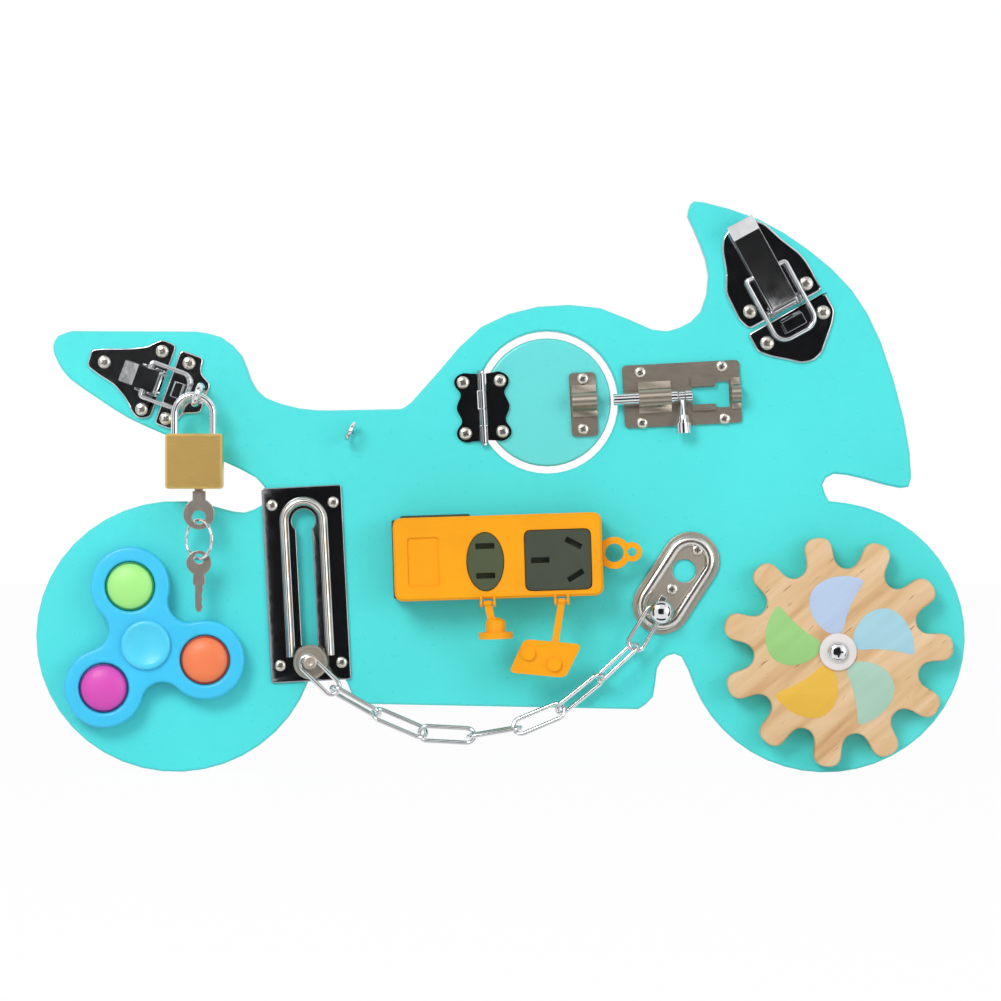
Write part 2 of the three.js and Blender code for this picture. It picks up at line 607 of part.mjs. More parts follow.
// Panel
function panelShape() {
  const outline = [];
  const point = (px) => new THREE.Vector2(...fromPixel(px));
  const line = (px) => outline.push(point(px));
  const curve = (list) => {
    const spline = new THREE.SplineCurve([outline[outline.length - 1], ...list.map(point)]);
    outline.push(...spline.getPoints(SPLINE_STEPS * list.length).slice(1));
  };
  const wheel = (centrePx, startPx, endPx) => {
    const centre = point(centrePx);
    const [start, end] = [startPx, endPx].map((px) => Math.atan2(
      (centrePx[1] - px[1]) / WHEEL_HALF_HEIGHT_PX,
      (px[0] - centrePx[0]) / WHEEL_HALF_WIDTH_PX,
    ));
    const width = WHEEL_HALF_WIDTH_PX * MM_PER_PX;
    const height = WHEEL_HALF_HEIGHT_PX * MM_PER_PX;
    const arc = new THREE.EllipseCurve(centre.x, centre.y, width, height, start, end, true);
    outline.push(...arc.getPoints(WHEEL_STEPS));
  };
  line(TAIL_START_PX);
  curve(TAIL_TIP_PX);
  line(SEAT_START_PX);
  curve(SEAT_CURVE_PX);
  line(TANK_START_PX);
  curve([...TANK_CURVE_PX, ...HANDLE_CURVE_PX]);
  curve([...LAMP_CURVE_PX, ...FORK_CURVE_PX]);
  wheel(FRONT_WHEEL_PX, FRONT_WHEEL_START_PX, FRONT_WHEEL_END_PX);
  curve(BELLY_NOTCH_PX);
  line(BELLY_END_PX);
  curve(STAND_NOTCH_PX);
  wheel(REAR_WHEEL_PX, REAR_WHEEL_START_PX, REAR_WHEEL_END_PX);
  curve(FENDER_CURVE_PX);
  curve(TAIL_CURVE_PX);
  return new THREE.Shape(outline.reverse());
}

const doorCentre = fromPixel(DOOR_CENTRE_PX);
const trackTurn = placeAt(TRACK_CENTRE_PX, TRACK_TURN);
const panelFromTrack = onSheet.clone().invert().multiply(trackTurn);

function blindBore(centrePx, radius) {
  return disc(fromPixel(centrePx), radius + SEAT_GAP, -BORE_DEPTH, BOARD_THICKNESS);
}

function buildPanel() {
  const shape = panelShape();
  const rim = arcPoints(doorCentre, DOOR_HOLE_RADIUS, 2 * Math.PI, 0, DOOR_SIDES).slice(1);
  shape.holes.push(new THREE.Path(rim.map(([x, y]) => new THREE.Vector2(x, y))));
  const body = sheet(shape, -BOARD_THICKNESS, 0, BOARD_EDGE, DOOR_SIDES);
  const foot = square(TRACK_FOOT_SQUARES);
  const arch = square(TRACK_ARCH_SQUARES);
  const pocket = shaped([
    disc(foot, POCKET_HALF, -POCKET_DEPTH, BOARD_THICKNESS),
    disc(arch, POCKET_HALF, -POCKET_DEPTH, BOARD_THICKNESS),
    block([foot[0] - POCKET_HALF, foot[1], -POCKET_DEPTH], [foot[0] + POCKET_HALF, arch[1], BOARD_THICKNESS]),
  ]);
  pocket.applyMatrix4(panelFromTrack);
  const bores = [
    blindBore(GEAR_CENTRE_PX, AXLE_RADIUS),
    blindBore(SPINNER_CENTRE_PX, SPINNER_POST_RADIUS),
    blindBore(EYE_CENTRE_PX, EYE_WIRE_RADIUS),
  ];
  add('board_panel', shaped([body], [pocket, ...bores]), onSheet, 'teal');
  const disk = polygon(arcPoints(doorCentre, DOOR_RADIUS, 0, 2 * Math.PI, DOOR_SIDES).slice(1));
  add('door_disc', sheet(disk, -BOARD_THICKNESS, 0, BOARD_EDGE), onSheet, 'paleTeal');
}

// Butterfly hinge of the door
function buildHinge() {
  const place = placeAt(HINGE_CENTRE_PX, HINGE_TURN);
  const [axisX] = square(HINGE_AXIS_SQUARES);
  const ends = squares(KNUCKLE_ENDS_SQUARES).map(([, y]) => y);
  const bore = rod(
    [axisX, ends[0] + HINGE_HEAD_LENGTH, HINGE_AXIS_HEIGHT],
    [axisX, ends[KNUCKLES] - HINGE_HEAD_LENGTH, HINGE_AXIS_HEIGHT],
    HINGE_PIN_RADIUS + SEAT_GAP,
    SMALL_SIDES,
  );
  const leaf = (outline, screws, first) => {
    const knuckles = [];
    const clearings = [];
    for (let i = 0; i < KNUCKLES; i += 1) {
      const top = ends[i] - KNUCKLE_GAP;
      const bottom = ends[i + 1] + KNUCKLE_GAP;
      const start = [axisX, top, HINGE_AXIS_HEIGHT];
      const end = [axisX, bottom, HINGE_AXIS_HEIGHT];
      if (i % 2 === first) {
        knuckles.push(rod(start, end, KNUCKLE_RADIUS));
      } else {
        const room = KNUCKLE_RADIUS + RUN_GAP;
        clearings.push(block([axisX - room, ends[i + 1] - KNUCKLE_GAP, -room], [axisX + room, ends[i] + KNUCKLE_GAP, 2 * room]));
      }
    }
    const flat = shaped([plate(outline, LEAF_CORNER, screws)], clearings);
    return shaped([flat, ...knuckles], [bore]);
  };
  add('hinge_leaf_fixed', leaf(FIXED_LEAF_SQUARES, FIXED_LEAF_SCREWS_SQUARES, 0), place, 'black');
  add('hinge_leaf_door', leaf(DOOR_LEAF_SQUARES, DOOR_LEAF_SCREWS_SQUARES, 1), place, 'black');
  const pinEnd = (y, way) => rod(
    [axisX, y + way * RUN_GAP / 2, HINGE_AXIS_HEIGHT],
    [axisX, y + way * (RUN_GAP / 2 + HINGE_HEAD_LENGTH), HINGE_AXIS_HEIGHT],
    HINGE_HEAD_RADIUS,
    SMALL_SIDES,
  );
  const shank = rod(
    [axisX, ends[0] + RUN_GAP, HINGE_AXIS_HEIGHT],
    [axisX, ends[4] - RUN_GAP, HINGE_AXIS_HEIGHT],
    HINGE_PIN_RADIUS,
    SMALL_SIDES,
  );
  add('hinge_pin', shaped([shank, pinEnd(ends[0], 1), pinEnd(ends[4], -1)]), place, 'black');
}

// Barrel bolt, its rod, its knob and the door's keeper
function loopBlock([x0], [x1], axisY) {
  const outer = BOLT_ROD_RADIUS + BOLT_BORE_GAP + BOLT_LOOP_WALL;
  const base = SEAT_GAP + SINK;
  return shaped([
    rod([x0, axisY, BOLT_ROD_HEIGHT], [x1, axisY, BOLT_ROD_HEIGHT], outer),
    block([x0, axisY - outer, base], [x1, axisY + outer, BOLT_ROD_HEIGHT]),
    block(
      [x0, square(BOLT_FLANGE_SQUARES[0])[1], base],
      [x1, square(BOLT_FLANGE_SQUARES[1])[1], PLATE_TOP + BOLT_FLANGE_THICKNESS],
    ),
  ]);
}

function buildBolt() {
  const place = placeAt(BOLT_CENTRE_PX, BOLT_TURN);
  const axisY = square(BOLT_AXIS_SQUARES)[1];
  const loop = squares(BOLT_LOOP_SQUARES);
  const endLoop = squares(BOLT_END_LOOP_SQUARES);
  const rodEnds = squares(BOLT_ROD_ENDS_SQUARES);
  const keeperLoop = squares(DOOR_KEEPER_LOOP_SQUARES);
  const bore = ([x0], [x1]) => rod(
    [x0 - BOLT_ROD_RADIUS, axisY, BOLT_ROD_HEIGHT],
    [x1 + BOLT_ROD_RADIUS, axisY, BOLT_ROD_HEIGHT],
    BOLT_ROD_RADIUS + BOLT_BORE_GAP,
  );
  const slot = block(
    [square(BOLT_SLOT_START_SQUARES)[0], -KNOB_LENGTH, -BOLT_SLOT_HALF],
    [loop[1][0] + BOLT_ROD_RADIUS, 0, BOLT_SLOT_HALF],
  );
  slot.rotateX(-radians(KNOB_TILT));
  slot.translate(0, axisY, BOLT_ROD_HEIGHT);
  const window = sheet(easedShape(squares(BOLT_WINDOW_SQUARES), SEAT_GAP), 0, PLATE_TOP + PLATE_THICKNESS);
  const strips = BOLT_STRIPS_SQUARES.map((pair) => {
    const [low, high] = squares(pair);
    return block([...low, SEAT_GAP + SINK], [...high, BOLT_STRIP_TOP]);
  });
  const housing = shaped(
    [plate(BOLT_PLATE_SQUARES, PLATE_CORNER, BOLT_SCREWS_SQUARES), loopBlock(...loop, axisY), loopBlock(...endLoop, axisY), ...strips],
    [window, bore(...loop), bore(...endLoop), slot],
  );
  add('bolt_housing', housing, place, 'steel');
  const keeper = shaped(
    [plate(DOOR_KEEPER_SQUARES, PLATE_CORNER, DOOR_KEEPER_SCREWS_SQUARES), loopBlock(...keeperLoop, axisY)],
    [bore(...keeperLoop)],
  );
  add('door_keeper', keeper, place, 'steel');
  const knobX = square(KNOB_PLACE_SQUARES)[0];
  const grooveHalf = KNOB_RING_HALF + SEAT_GAP;
  const onAxis = (x) => [x, axisY, BOLT_ROD_HEIGHT];
  const rodBody = shaped([
    rod(onAxis(rodEnds[0][0]), onAxis(knobX - grooveHalf), BOLT_ROD_RADIUS),
    rod(onAxis(knobX + grooveHalf), onAxis(rodEnds[1][0]), BOLT_ROD_RADIUS),
    rod(onAxis(rodEnds[0][0] + grooveHalf), onAxis(rodEnds[1][0] - grooveHalf), KNOB_GROOVE_RADIUS),
  ]);
  add('bolt_rod', rodBody, place, 'chrome');
  const headStart = KNOB_STEM_END;
  const knob = shaped([
    shaped(
      [rod([-KNOB_RING_HALF, 0, 0], [KNOB_RING_HALF, 0, 0], KNOB_RING_OUTER)],
      [rod([-2 * KNOB_RING_HALF, 0, 0], [2 * KNOB_RING_HALF, 0, 0], KNOB_RING_INNER)],
    ),
    rod([0, -KNOB_RING_INNER - SINK, 0], [0, -headStart - SINK, 0], KNOB_STEM_RADIUS, SMALL_SIDES),
    rod([0, -headStart, 0], [0, -KNOB_LENGTH, 0], KNOB_RADIUS),
    rod([0, -headStart * KNOB_NECK_SHARE, 0], [0, -headStart - SINK, 0], KNOB_RADIUS * KNOB_NECK_SHARE),
  ]);
  knob.rotateX(-radians(KNOB_TILT));
  knob.translate(...onAxis(knobX));
  add('bolt_knob', knob, place, 'chrome');
}

// A wire bail: two arms, a rounded foot bar and two ends turned in to the lever
function bail(half, height, [, topY], [, footY], corner, innerHalf) {
  const path = [];
  path.push([-innerHalf, topY, height]);
  path.push([-half + BAIL_WIRE_RADIUS, topY, height]);
  path.push([-half, topY - BAIL_WIRE_RADIUS, height]);
  path.push([-half, footY + corner + BAIL_WIRE_RADIUS, height]);
  for (const [x, y] of arcPoints([-half + corner, footY + corner], corner, Math.PI, 1.5 * Math.PI, BAIL_CORNER_STEPS)) {
    path.push([x, y, height]);
  }
  for (const [x, y] of arcPoints([half - corner, footY + corner], corner, 1.5 * Math.PI, 2 * Math.PI, BAIL_CORNER_STEPS)) {
    path.push([x, y, height]);
  }
  path.push([half, footY + corner + BAIL_WIRE_RADIUS, height]);
  path.push([half, topY - BAIL_WIRE_RADIUS, height]);
  path.push([half - BAIL_WIRE_RADIUS, topY, height]);
  path.push([innerHalf, topY, height]);
  return wireAlong(path, BAIL_WIRE_RADIUS, BAIL_STEPS, WIRE_SIDES);
}

// A pressed lever: a web with two side walls, a tab at its far end and round feet at its pivot
function lever(half, wall, pivot, height, top, spine, bailEnd, bailHeight, pinRadius) {
  const [webY, tabY, tipY] = squares(spine).map(([, y]) => y);
  const foot = height - PLATE_TOP - RUN_GAP;
  const side = new THREE.Shape();
  side.moveTo(pivot, height - foot);
  side.lineTo(tabY, top - wall - foot);
  side.lineTo(tabY, top);
  side.lineTo(webY, top);
  side.lineTo(pivot - foot, height);
  side.absarc(pivot, height, foot, Math.PI, 1.5 * Math.PI);
  const tab = new THREE.Shape();
  tab.moveTo(webY, top);
  tab.lineTo(webY, top - wall);
  tab.lineTo(tabY, top - wall);
  tab.lineTo(tipY, top - wall + LATCH_TAB_RISE);
  tab.lineTo(tipY, top + LATCH_TAB_RISE);
  tab.lineTo(tabY, top);
  const ends = square(bailEnd);
  return shaped(
    [acrossX(side, -half, -half + wall), acrossX(side, half - wall, half), acrossX(tab, -half, half)],
    [
      rod([-2 * half, pivot, height], [2 * half, pivot, height], pinRadius + SEAT_GAP, SMALL_SIDES),
      rod([-2 * half, ends[1], bailHeight], [2 * half, ends[1], bailHeight], BAIL_WIRE_RADIUS + RUN_GAP, SMALL_SIDES),
    ],
  );
}

// A keeper's hook: a strip that rises from the plate beside the bail's foot bar
function hook(half, profile, top) {
  const [[outerY], [innerY], [tipY]] = squares(profile);
  const shape = new THREE.Shape();
  shape.moveTo(outerY, SEAT_GAP + SINK);
  shape.lineTo(innerY, top);
  shape.lineTo(tipY, top);
  shape.lineTo(tipY, top - HOOK_WALL);
  shape.lineTo(innerY - HOOK_WALL, top - 2 * HOOK_WALL);
  shape.lineTo(innerY - HOOK_WALL, SEAT_GAP + SINK);
  return acrossX(shape, -half, half);
}

function pinWithHeads([, y], height, radius, half, headRadius) {
  const end = half + LATCH_HEAD_LENGTH;
  return shaped([
    rod([-half - SINK, y, height], [half + SINK, y, height], radius, SMALL_SIDES),
    rod([-end, y, height], [-half, y, height], headRadius, SMALL_SIDES),
    rod([half, y, height], [end, y, height], headRadius, SMALL_SIDES),
  ]);
}

function ears([, lowY], [, highY], top, inner, thickness) {
  const profile = easedShape([[lowY, SEAT_GAP + SINK], [highY, SEAT_GAP + SINK], [highY, top], [lowY, top]], thickness);
  return [acrossX(profile, -inner - thickness, -inner), acrossX(profile, inner, inner + thickness)];
}

function buildLatch() {
  const place = placeAt(LATCH_CENTRE_PX, LATCH_TURN);
  const pivot = square(LATCH_PIVOT_SQUARES);
  const earInner = LATCH_LEVER_HALF + SEAT_GAP;
  const [earLow, earHigh] = squares(LATCH_EAR_SQUARES);
  const pinBore = rod(
    [-LATCH_BAIL_HALF, pivot[1], LATCH_PIVOT_HEIGHT],
    [LATCH_BAIL_HALF, pivot[1], LATCH_PIVOT_HEIGHT],
    LATCH_PIN_RADIUS + SEAT_GAP,
    SMALL_SIDES,
  );
  const base = shaped([
    plate(LATCH_PLATE_SQUARES, PLATE_CORNER, LATCH_PLATE_SCREWS_SQUARES),
    ...ears(earLow, earHigh, LATCH_EAR_TOP, earInner, LATCH_EAR_THICKNESS),
  ], [pinBore]);
  add('latch_base', base, place, 'black');
  const keeper = shaped([
    plate(LATCH_KEEPER_SQUARES, PLATE_CORNER, LATCH_KEEPER_SCREWS_SQUARES),
    hook(LATCH_HOOK_HALF, LATCH_HOOK_SQUARES, LATCH_HOOK_TOP),
  ]);
  add('latch_keeper', keeper, place, 'black');
  const leverBody = lever(
    LATCH_LEVER_HALF,
    LATCH_LEVER_WALL,
    pivot[1],
    LATCH_PIVOT_HEIGHT,
    LATCH_LEVER_TOP,
    LATCH_LEVER_SQUARES,
    LATCH_BAIL_ENDS_SQUARES[0],
    LATCH_BAIL_HEIGHT,
    LATCH_PIN_RADIUS,
  );
  add('latch_lever', leverBody, place, 'chrome');
  const headInner = earInner + LATCH_EAR_THICKNESS + SEAT_GAP;
  add(
    'latch_pin',
    pinWithHeads(pivot, LATCH_PIVOT_HEIGHT, LATCH_PIN_RADIUS, headInner, LATCH_HEAD_RADIUS),
    place,
    'chrome',
  );
  const bailEnds = squares(LATCH_BAIL_ENDS_SQUARES);
  const bailBody = bail(
    LATCH_BAIL_HALF,
    LATCH_BAIL_HEIGHT,
    bailEnds[0],
    bailEnds[1],
    LATCH_BAIL_CORNER,
    LATCH_LEVER_HALF - LATCH_LEVER_WALL,
  );
  add('latch_bail', bailBody, place, 'chrome');
}

function buildHasp() {
  const place = placeAt(HASP_CENTRE_PX, HASP_TURN);
  const pivot = square(HASP_PIVOT_SQUARES);
  const [earLow, earHigh] = squares(HASP_EAR_SQUARES);
  const [slotLow, slotHigh] = squares(HASP_EAR_SLOT_SQUARES);
  const outside = HASP_EAR_INNER + HASP_EAR_THICKNESS + SINK;
  const pinBore = rod(
    [-outside, pivot[1], HASP_PIVOT_HEIGHT],
    [outside, pivot[1], HASP_PIVOT_HEIGHT],
    HASP_PIN_RADIUS + SEAT_GAP,
    SMALL_SIDES,
  );
  const bailRoom = block([-outside, slotLow[1], PLATE_TOP + SEAT_GAP], [outside, slotHigh[1], HASP_EAR_TOP + SINK]);
  const base = shaped([
    plate(HASP_PLATE_SQUARES, PLATE_CORNER, HASP_PLATE_SCREWS_SQUARES),
    ...ears(earLow, earHigh, HASP_EAR_TOP, HASP_EAR_INNER, HASP_EAR_THICKNESS),
  ], [pinBore, bailRoom]);
  add('hasp_base', base, place, 'chrome');
  const leg = new THREE.Vector3(...fromPixel(STAPLE_LEG_PX), 0);
  leg.applyMatrix4(place.clone().invert().multiply(onSheet));
  const archTop = LOCK_HEIGHT_ABOVE + SHACKLE_RADIUS + RUN_GAP + STAPLE_WIRE_RADIUS + STAPLE_WIRE_RADIUS;
  const bend = STAPLE_SPAN * STAPLE_BEND_SHARE;
  const arch = wireAlong([
    [leg.x, leg.y, SEAT_GAP + SINK],
    [leg.x, leg.y, (archTop - bend) / 2],
    [leg.x, leg.y, archTop - bend],
    [leg.x + bend * STAPLE_BEND_SHARE, leg.y, archTop - bend * STAPLE_BEND_SHARE],
    [leg.x + bend, leg.y, archTop],
    [leg.x + STAPLE_SPAN - bend, leg.y, archTop],
    [leg.x + STAPLE_SPAN - bend * STAPLE_BEND_SHARE, leg.y, archTop - bend * STAPLE_BEND_SHARE],
    [leg.x + STAPLE_SPAN, leg.y, archTop - bend],
    [leg.x + STAPLE_SPAN, leg.y, (archTop - bend) / 2],
    [leg.x + STAPLE_SPAN, leg.y, SEAT_GAP + SINK],
  ], STAPLE_WIRE_RADIUS, ARCH_STEPS);
  const staple = shaped([
    plate(HASP_STAPLE_SQUARES, PLATE_CORNER, HASP_STAPLE_SCREWS_SQUARES),
    hook(HASP_HOOK_HALF, HASP_HOOK_SQUARES, HASP_HOOK_TOP),
    arch,
  ]);
  add('hasp_staple', staple, place, 'chrome');
  const leverBody = lever(
    HASP_LEVER_HALF,
    HASP_LEVER_WALL,
    pivot[1],
    HASP_PIVOT_HEIGHT,
    HASP_LEVER_TOP,
    HASP_LEVER_SQUARES,
    HASP_BAIL_ENDS_SQUARES[0],
    HASP_BAIL_HEIGHT,
    HASP_PIN_RADIUS,
  );
  add('hasp_lever', leverBody, place, 'steel');
  const pin = rod(
    [-outside + SINK, pivot[1], HASP_PIVOT_HEIGHT],
    [outside - SINK, pivot[1], HASP_PIVOT_HEIGHT],
    HASP_PIN_RADIUS,
    SMALL_SIDES,
  );
  add('hasp_pin', pin, place, 'chrome');
  const bailEnds = squares(HASP_BAIL_ENDS_SQUARES);
  const bailBody = bail(
    HASP_BAIL_HALF,
    HASP_BAIL_HEIGHT,
    bailEnds[0],
    bailEnds[1],
    HASP_BAIL_CORNER,
    HASP_LEVER_HALF - HASP_LEVER_WALL,
  );
  add('hasp_bail', bailBody, place, 'chrome');
}

// Padlock, its keys and the ring between them
function buildLock() {
  const [lockX, lockY] = fromPixel(LOCK_CENTRE_PX);
  const [crownX, crownTop] = fromPixel(SHACKLE_TOP_PX);
  const z = LOCK_HEIGHT_ABOVE;
  const top = lockY + LOCK_HEIGHT / 2;
  const bottom = lockY - LOCK_HEIGHT / 2;
  const bend = SHACKLE_SPAN / 2;
  const crownY = crownTop - SHACKLE_RADIUS - bend;
  const longEnd = top - SHACKLE_LONG_LEG;
  const shortEnd = top - SHACKLE_SHORT_LEG;
  const path = [[crownX - bend, longEnd, z], [crownX - bend, (longEnd + crownY) / 2, z]];
  for (const [x, y] of arcPoints([crownX, crownY], bend, Math.PI, 0, CROWN_STEPS)) {
    path.push([x, y, z]);
  }
  path.push([crownX + bend, (shortEnd + crownY) / 2, z]);
  path.push([crownX + bend, shortEnd, z]);
  add('padlock_shackle', wireAlong(path, SHACKLE_RADIUS, SHACKLE_STEPS), onSheet, 'chrome');
  const keyX = fromPixel(KEY_X_PX)[0];
  const half = LOCK_WIDTH / 2;
  const outline = easedShape(
    [[lockX - half, bottom], [lockX + half, bottom], [lockX + half, top], [lockX - half, top]],
    LOCK_CORNER,
  );
  const upright = (x, y0, y1, radius) => rod([x, y0, z], [x, y1, z], radius);
  const body = shaped(
    [sheet(outline, z - LOCK_THICKNESS / 2, z + LOCK_THICKNESS / 2, LOCK_EDGE)],
    [
      upright(crownX - bend, longEnd - LOCK_BORE_EXTRA, top + LOCK_EDGE, SHACKLE_RADIUS + SEAT_GAP),
      upright(crownX + bend, shortEnd - LOCK_BORE_EXTRA, top + LOCK_EDGE, SHACKLE_RADIUS + SEAT_GAP),
      upright(keyX, bottom - LOCK_EDGE, bottom + PLUG_LENGTH + SEAT_GAP, PLUG_RADIUS + SEAT_GAP),
    ],
  );
  add('padlock_body', body, onSheet, 'brass');
  const slotHalfThick = KEY_THICKNESS / 2 + SEAT_GAP;
  const plug = shaped(
    [upright(keyX, bottom, bottom + PLUG_LENGTH, PLUG_RADIUS)],
    [block(
      [keyX - PLUG_SLOT_HALF, bottom - LOCK_EDGE, z - slotHalfThick],
      [keyX + PLUG_SLOT_HALF, bottom + PLUG_SLOT_DEPTH, z + slotHalfThick],
    )],
  );
  add('lock_plug', plug, onSheet, 'brass');
  const near = z - KEY_THICKNESS / 2;
  const far = z + KEY_THICKNESS / 2;
  const [neckTop, neckBottom] = KEY_NECK_PX.map(fromPixel);
  const bow = fromPixel(KEY_BOW_PX);
  const key = shaped(
    [
      disc(bow, KEY_BOW_RADIUS, near, far),
      block([neckTop[0], neckBottom[1] - SINK, near], [neckBottom[0], neckTop[1], far]),
      block(
        [keyX - KEY_BLADE_HALF, neckTop[1] - SINK, near],
        [keyX + KEY_BLADE_HALF, bottom + PLUG_SLOT_DEPTH * KEY_BLADE_TOP_SHARE, far],
      ),
    ],
    [disc(fromPixel(KEY_HOLE_PX), KEY_HOLE_RADIUS, near - SINK, far + SINK)],
  );
  add('key_in_lock', key, onSheet, 'steel');
  const ringTop = fromPixel(RING_TOP_PX);
  const ringRadius = (ringTop[1] - fromPixel(RING_BOTTOM_PX)[1]) / 2;
  const ring = wireLoop(arcPoints([0, 0], ringRadius, 0, 2 * Math.PI, RING_STEPS).slice(1), RING_WIRE_RADIUS);
  ring.rotateY(radians(RING_TURN));
  ring.translate(ringTop[0], ringTop[1] - ringRadius, z);
  add('key_ring', ring, onSheet, 'chrome');
  const spare = shaped(
    [disc(fromPixel(SPARE_BOW_PX), SPARE_BOW_RADIUS, near, far), sheet(polygon(SPARE_BLADE_PX.map(fromPixel)), near, far)],
    [disc(fromPixel(SPARE_HOLE_PX), SPARE_HOLE_RADIUS, near - SINK, far + SINK)],
  );
  add('spare_key', spare, onSheet, 'steel');
}

// Keyhole track with its slide button
function slotShape([x, footY], archY, half) {
  const shape = new THREE.Shape();
  shape.absarc(x, footY, half, Math.PI, 2 * Math.PI);
  shape.absarc(x, archY, half, 0, Math.PI);
  shape.closePath();
  return shape;
}

function buildTrack() {
  const foot = square(TRACK_FOOT_SQUARES);
  const arch = square(TRACK_ARCH_SQUARES);
  const railEnd = square(RAIL_END_SQUARES);
  const railOuter = new THREE.Shape();
  railOuter.moveTo(-RAIL_OUTER, railEnd[1]);
  railOuter.lineTo(RAIL_OUTER, railEnd[1]);
  railOuter.absarc(arch[0], arch[1], RAIL_OUTER, 0, Math.PI);
  railOuter.closePath();
  const hollow = PLATE_TOP + RAIL_TOP;
  const track = shaped(
    [
      plate(TRACK_PLATE_SQUARES, PLATE_CORNER, TRACK_SCREWS_SQUARES),
      shaped(
        [sheet(railOuter, SEAT_GAP + SINK, RAIL_TOP)],
        [sheet(slotShape(foot, arch[1], RAIL_INNER), PLATE_TOP, hollow, 0, ARC_STEPS)],
      ),
    ],
    [
      sheet(slotShape(foot, arch[1], TRACK_SLOT_HALF), 0, hollow),
      disc(arch, TRACK_KEYHOLE_RADIUS, 0, hollow),
    ],
  );
  add('track_plate', track, trackTurn, 'black');
  const discBottom = RAIL_TOP + RUN_GAP;
  const discTop = discBottom + BUTTON_THICKNESS;
  const footTop = -BUTTON_FOOT_DROP;
  const rivetBottom = CHAIN_HEIGHT + LINK_WIRE_RADIUS + RUN_GAP;
  const button = shaped([
    disc(foot, BUTTON_RADIUS, discBottom, discTop),
    disc(foot, BUTTON_NECK_RADIUS, footTop - SINK, discBottom + SINK),
    disc(foot, BUTTON_FOOT_RADIUS, footTop - BUTTON_FOOT_THICKNESS, footTop),
    disc(foot, BUTTON_POST_RADIUS, discTop - SINK, rivetBottom + SINK, SMALL_SIDES),
    disc(foot, BUTTON_RIVET_RADIUS, rivetBottom, rivetBottom + BUTTON_RIVET_THICKNESS),
  ]);
  add('slide_button', button, trackTurn, 'steel');
}

// Chain of nine welded links from the button to the anchor
function buildChain() {
  const joints = CHAIN_JOINTS_PX.map(fromPixel);
  CHAIN_ROLLS.forEach((roll, i) => {
    const end = new THREE.Vector2(...joints[i + 1]);
    const start = new THREE.Vector2(...joints[i]);
    const along = end.clone().sub(start).normalize();
    start.addScaledVector(along, i === 0 ? -FIRST_LINK_REACH : 0);
    const half = start.distanceTo(end) / 2 + LINK_OVERLAP - LINK_BEND_RADIUS;
    const loop = [
      ...arcPoints([half, 0], LINK_BEND_RADIUS, -Math.PI / 2, Math.PI / 2, LINK_BEND_STEPS),
      ...arcPoints([-half, 0], LINK_BEND_RADIUS, Math.PI / 2, 1.5 * Math.PI, LINK_BEND_STEPS),
    ];
    const link = wireLoop(loop, LINK_WIRE_RADIUS);
    link.rotateX(radians(roll));
    link.rotateZ(along.angle());
    link.translate((start.x + end.x) / 2, (start.y + end.y) / 2, CHAIN_HEIGHT);
    add(`chain_link_${i + 1}`, link, onSheet, 'chrome');
  });
}

function stadium(halfLength, halfWidth) {
  const shape = new THREE.Shape();
  shape.absarc(0, halfLength - halfWidth, halfWidth, 0, Math.PI);
  shape.absarc(0, halfWidth - halfLength, halfWidth, Math.PI, 2 * Math.PI);
  shape.closePath();
  return shape;
}

function buildAnchor() {
  const place = placeAt(ANCHOR_CENTRE_PX, ANCHOR_TURN);
  const rimDrop = ANCHOR_HALF_WIDTH - ANCHOR_RIM_OUTER;
  const holeDrop = ANCHOR_HALF_WIDTH - ANCHOR_RIM_INNER;
  const steps = ARC_STEPS;
  const oval = stadium(ANCHOR_HALF_LENGTH, ANCHOR_HALF_WIDTH);
  const rim = stadium(ANCHOR_HALF_LENGTH - rimDrop, ANCHOR_RIM_OUTER);
  const dish = stadium(ANCHOR_HALF_LENGTH - holeDrop, ANCHOR_RIM_INNER);
  const last = CHAIN_JOINTS_PX.length - 1;
  const toLocal = place.clone().invert().multiply(onSheet);
  const joints = [CHAIN_JOINTS_PX[last - 1], CHAIN_JOINTS_PX[last]].map(
    (px) => new THREE.Vector3(...fromPixel(px), 0).applyMatrix4(toLocal),
  );
  const along = joints[1].clone().sub(joints[0]).normalize();
  const post = joints[1].clone().addScaledVector(along, -LINK_OVERLAP);
  const outer = post.clone().addScaledVector(along, ANCHOR_BRIDGE_SPAN);
  const angle = Math.atan2(along.y, along.x);
  const bar = block(
    [-ANCHOR_BRIDGE_HALF, -ANCHOR_BRIDGE_HALF, ANCHOR_BRIDGE_TOP - ANCHOR_BRIDGE_THICKNESS],
    [ANCHOR_BRIDGE_SPAN + ANCHOR_BRIDGE_HALF, ANCHOR_BRIDGE_HALF, ANCHOR_BRIDGE_TOP],
  );
  bar.rotateZ(angle);
  bar.translate(post.x, post.y, 0);
  const anchor = shaped(
    [
      shaped(
        [sheet(oval, SEAT_GAP, PLATE_TOP, 0, steps), sheet(rim, SEAT_GAP + SINK, ANCHOR_RIM_TOP, 0, steps)],
        [sheet(dish, PLATE_TOP, PLATE_TOP + ANCHOR_RIM_TOP, 0, steps)],
      ),
      disc([post.x, post.y], ANCHOR_POST_RADIUS, SEAT_GAP + SINK, ANCHOR_BRIDGE_TOP - SINK, SMALL_SIDES),
      disc([outer.x, outer.y], ANCHOR_POST_RADIUS, SEAT_GAP + SINK, ANCHOR_BRIDGE_TOP - SINK, SMALL_SIDES),
      bar,
    ],
    [
      disc(square(ANCHOR_HOLE_SQUARES), ANCHOR_HOLE_RADIUS, 0, ANCHOR_BRIDGE_TOP / 2),
      ...squares(ANCHOR_SCREWS_SQUARES).map((at) => disc(at, SCREW_HOLE, 0, ANCHOR_BRIDGE_TOP / 2)),
    ],
  );
  add('anchor_plate', anchor, place, 'steel');
}

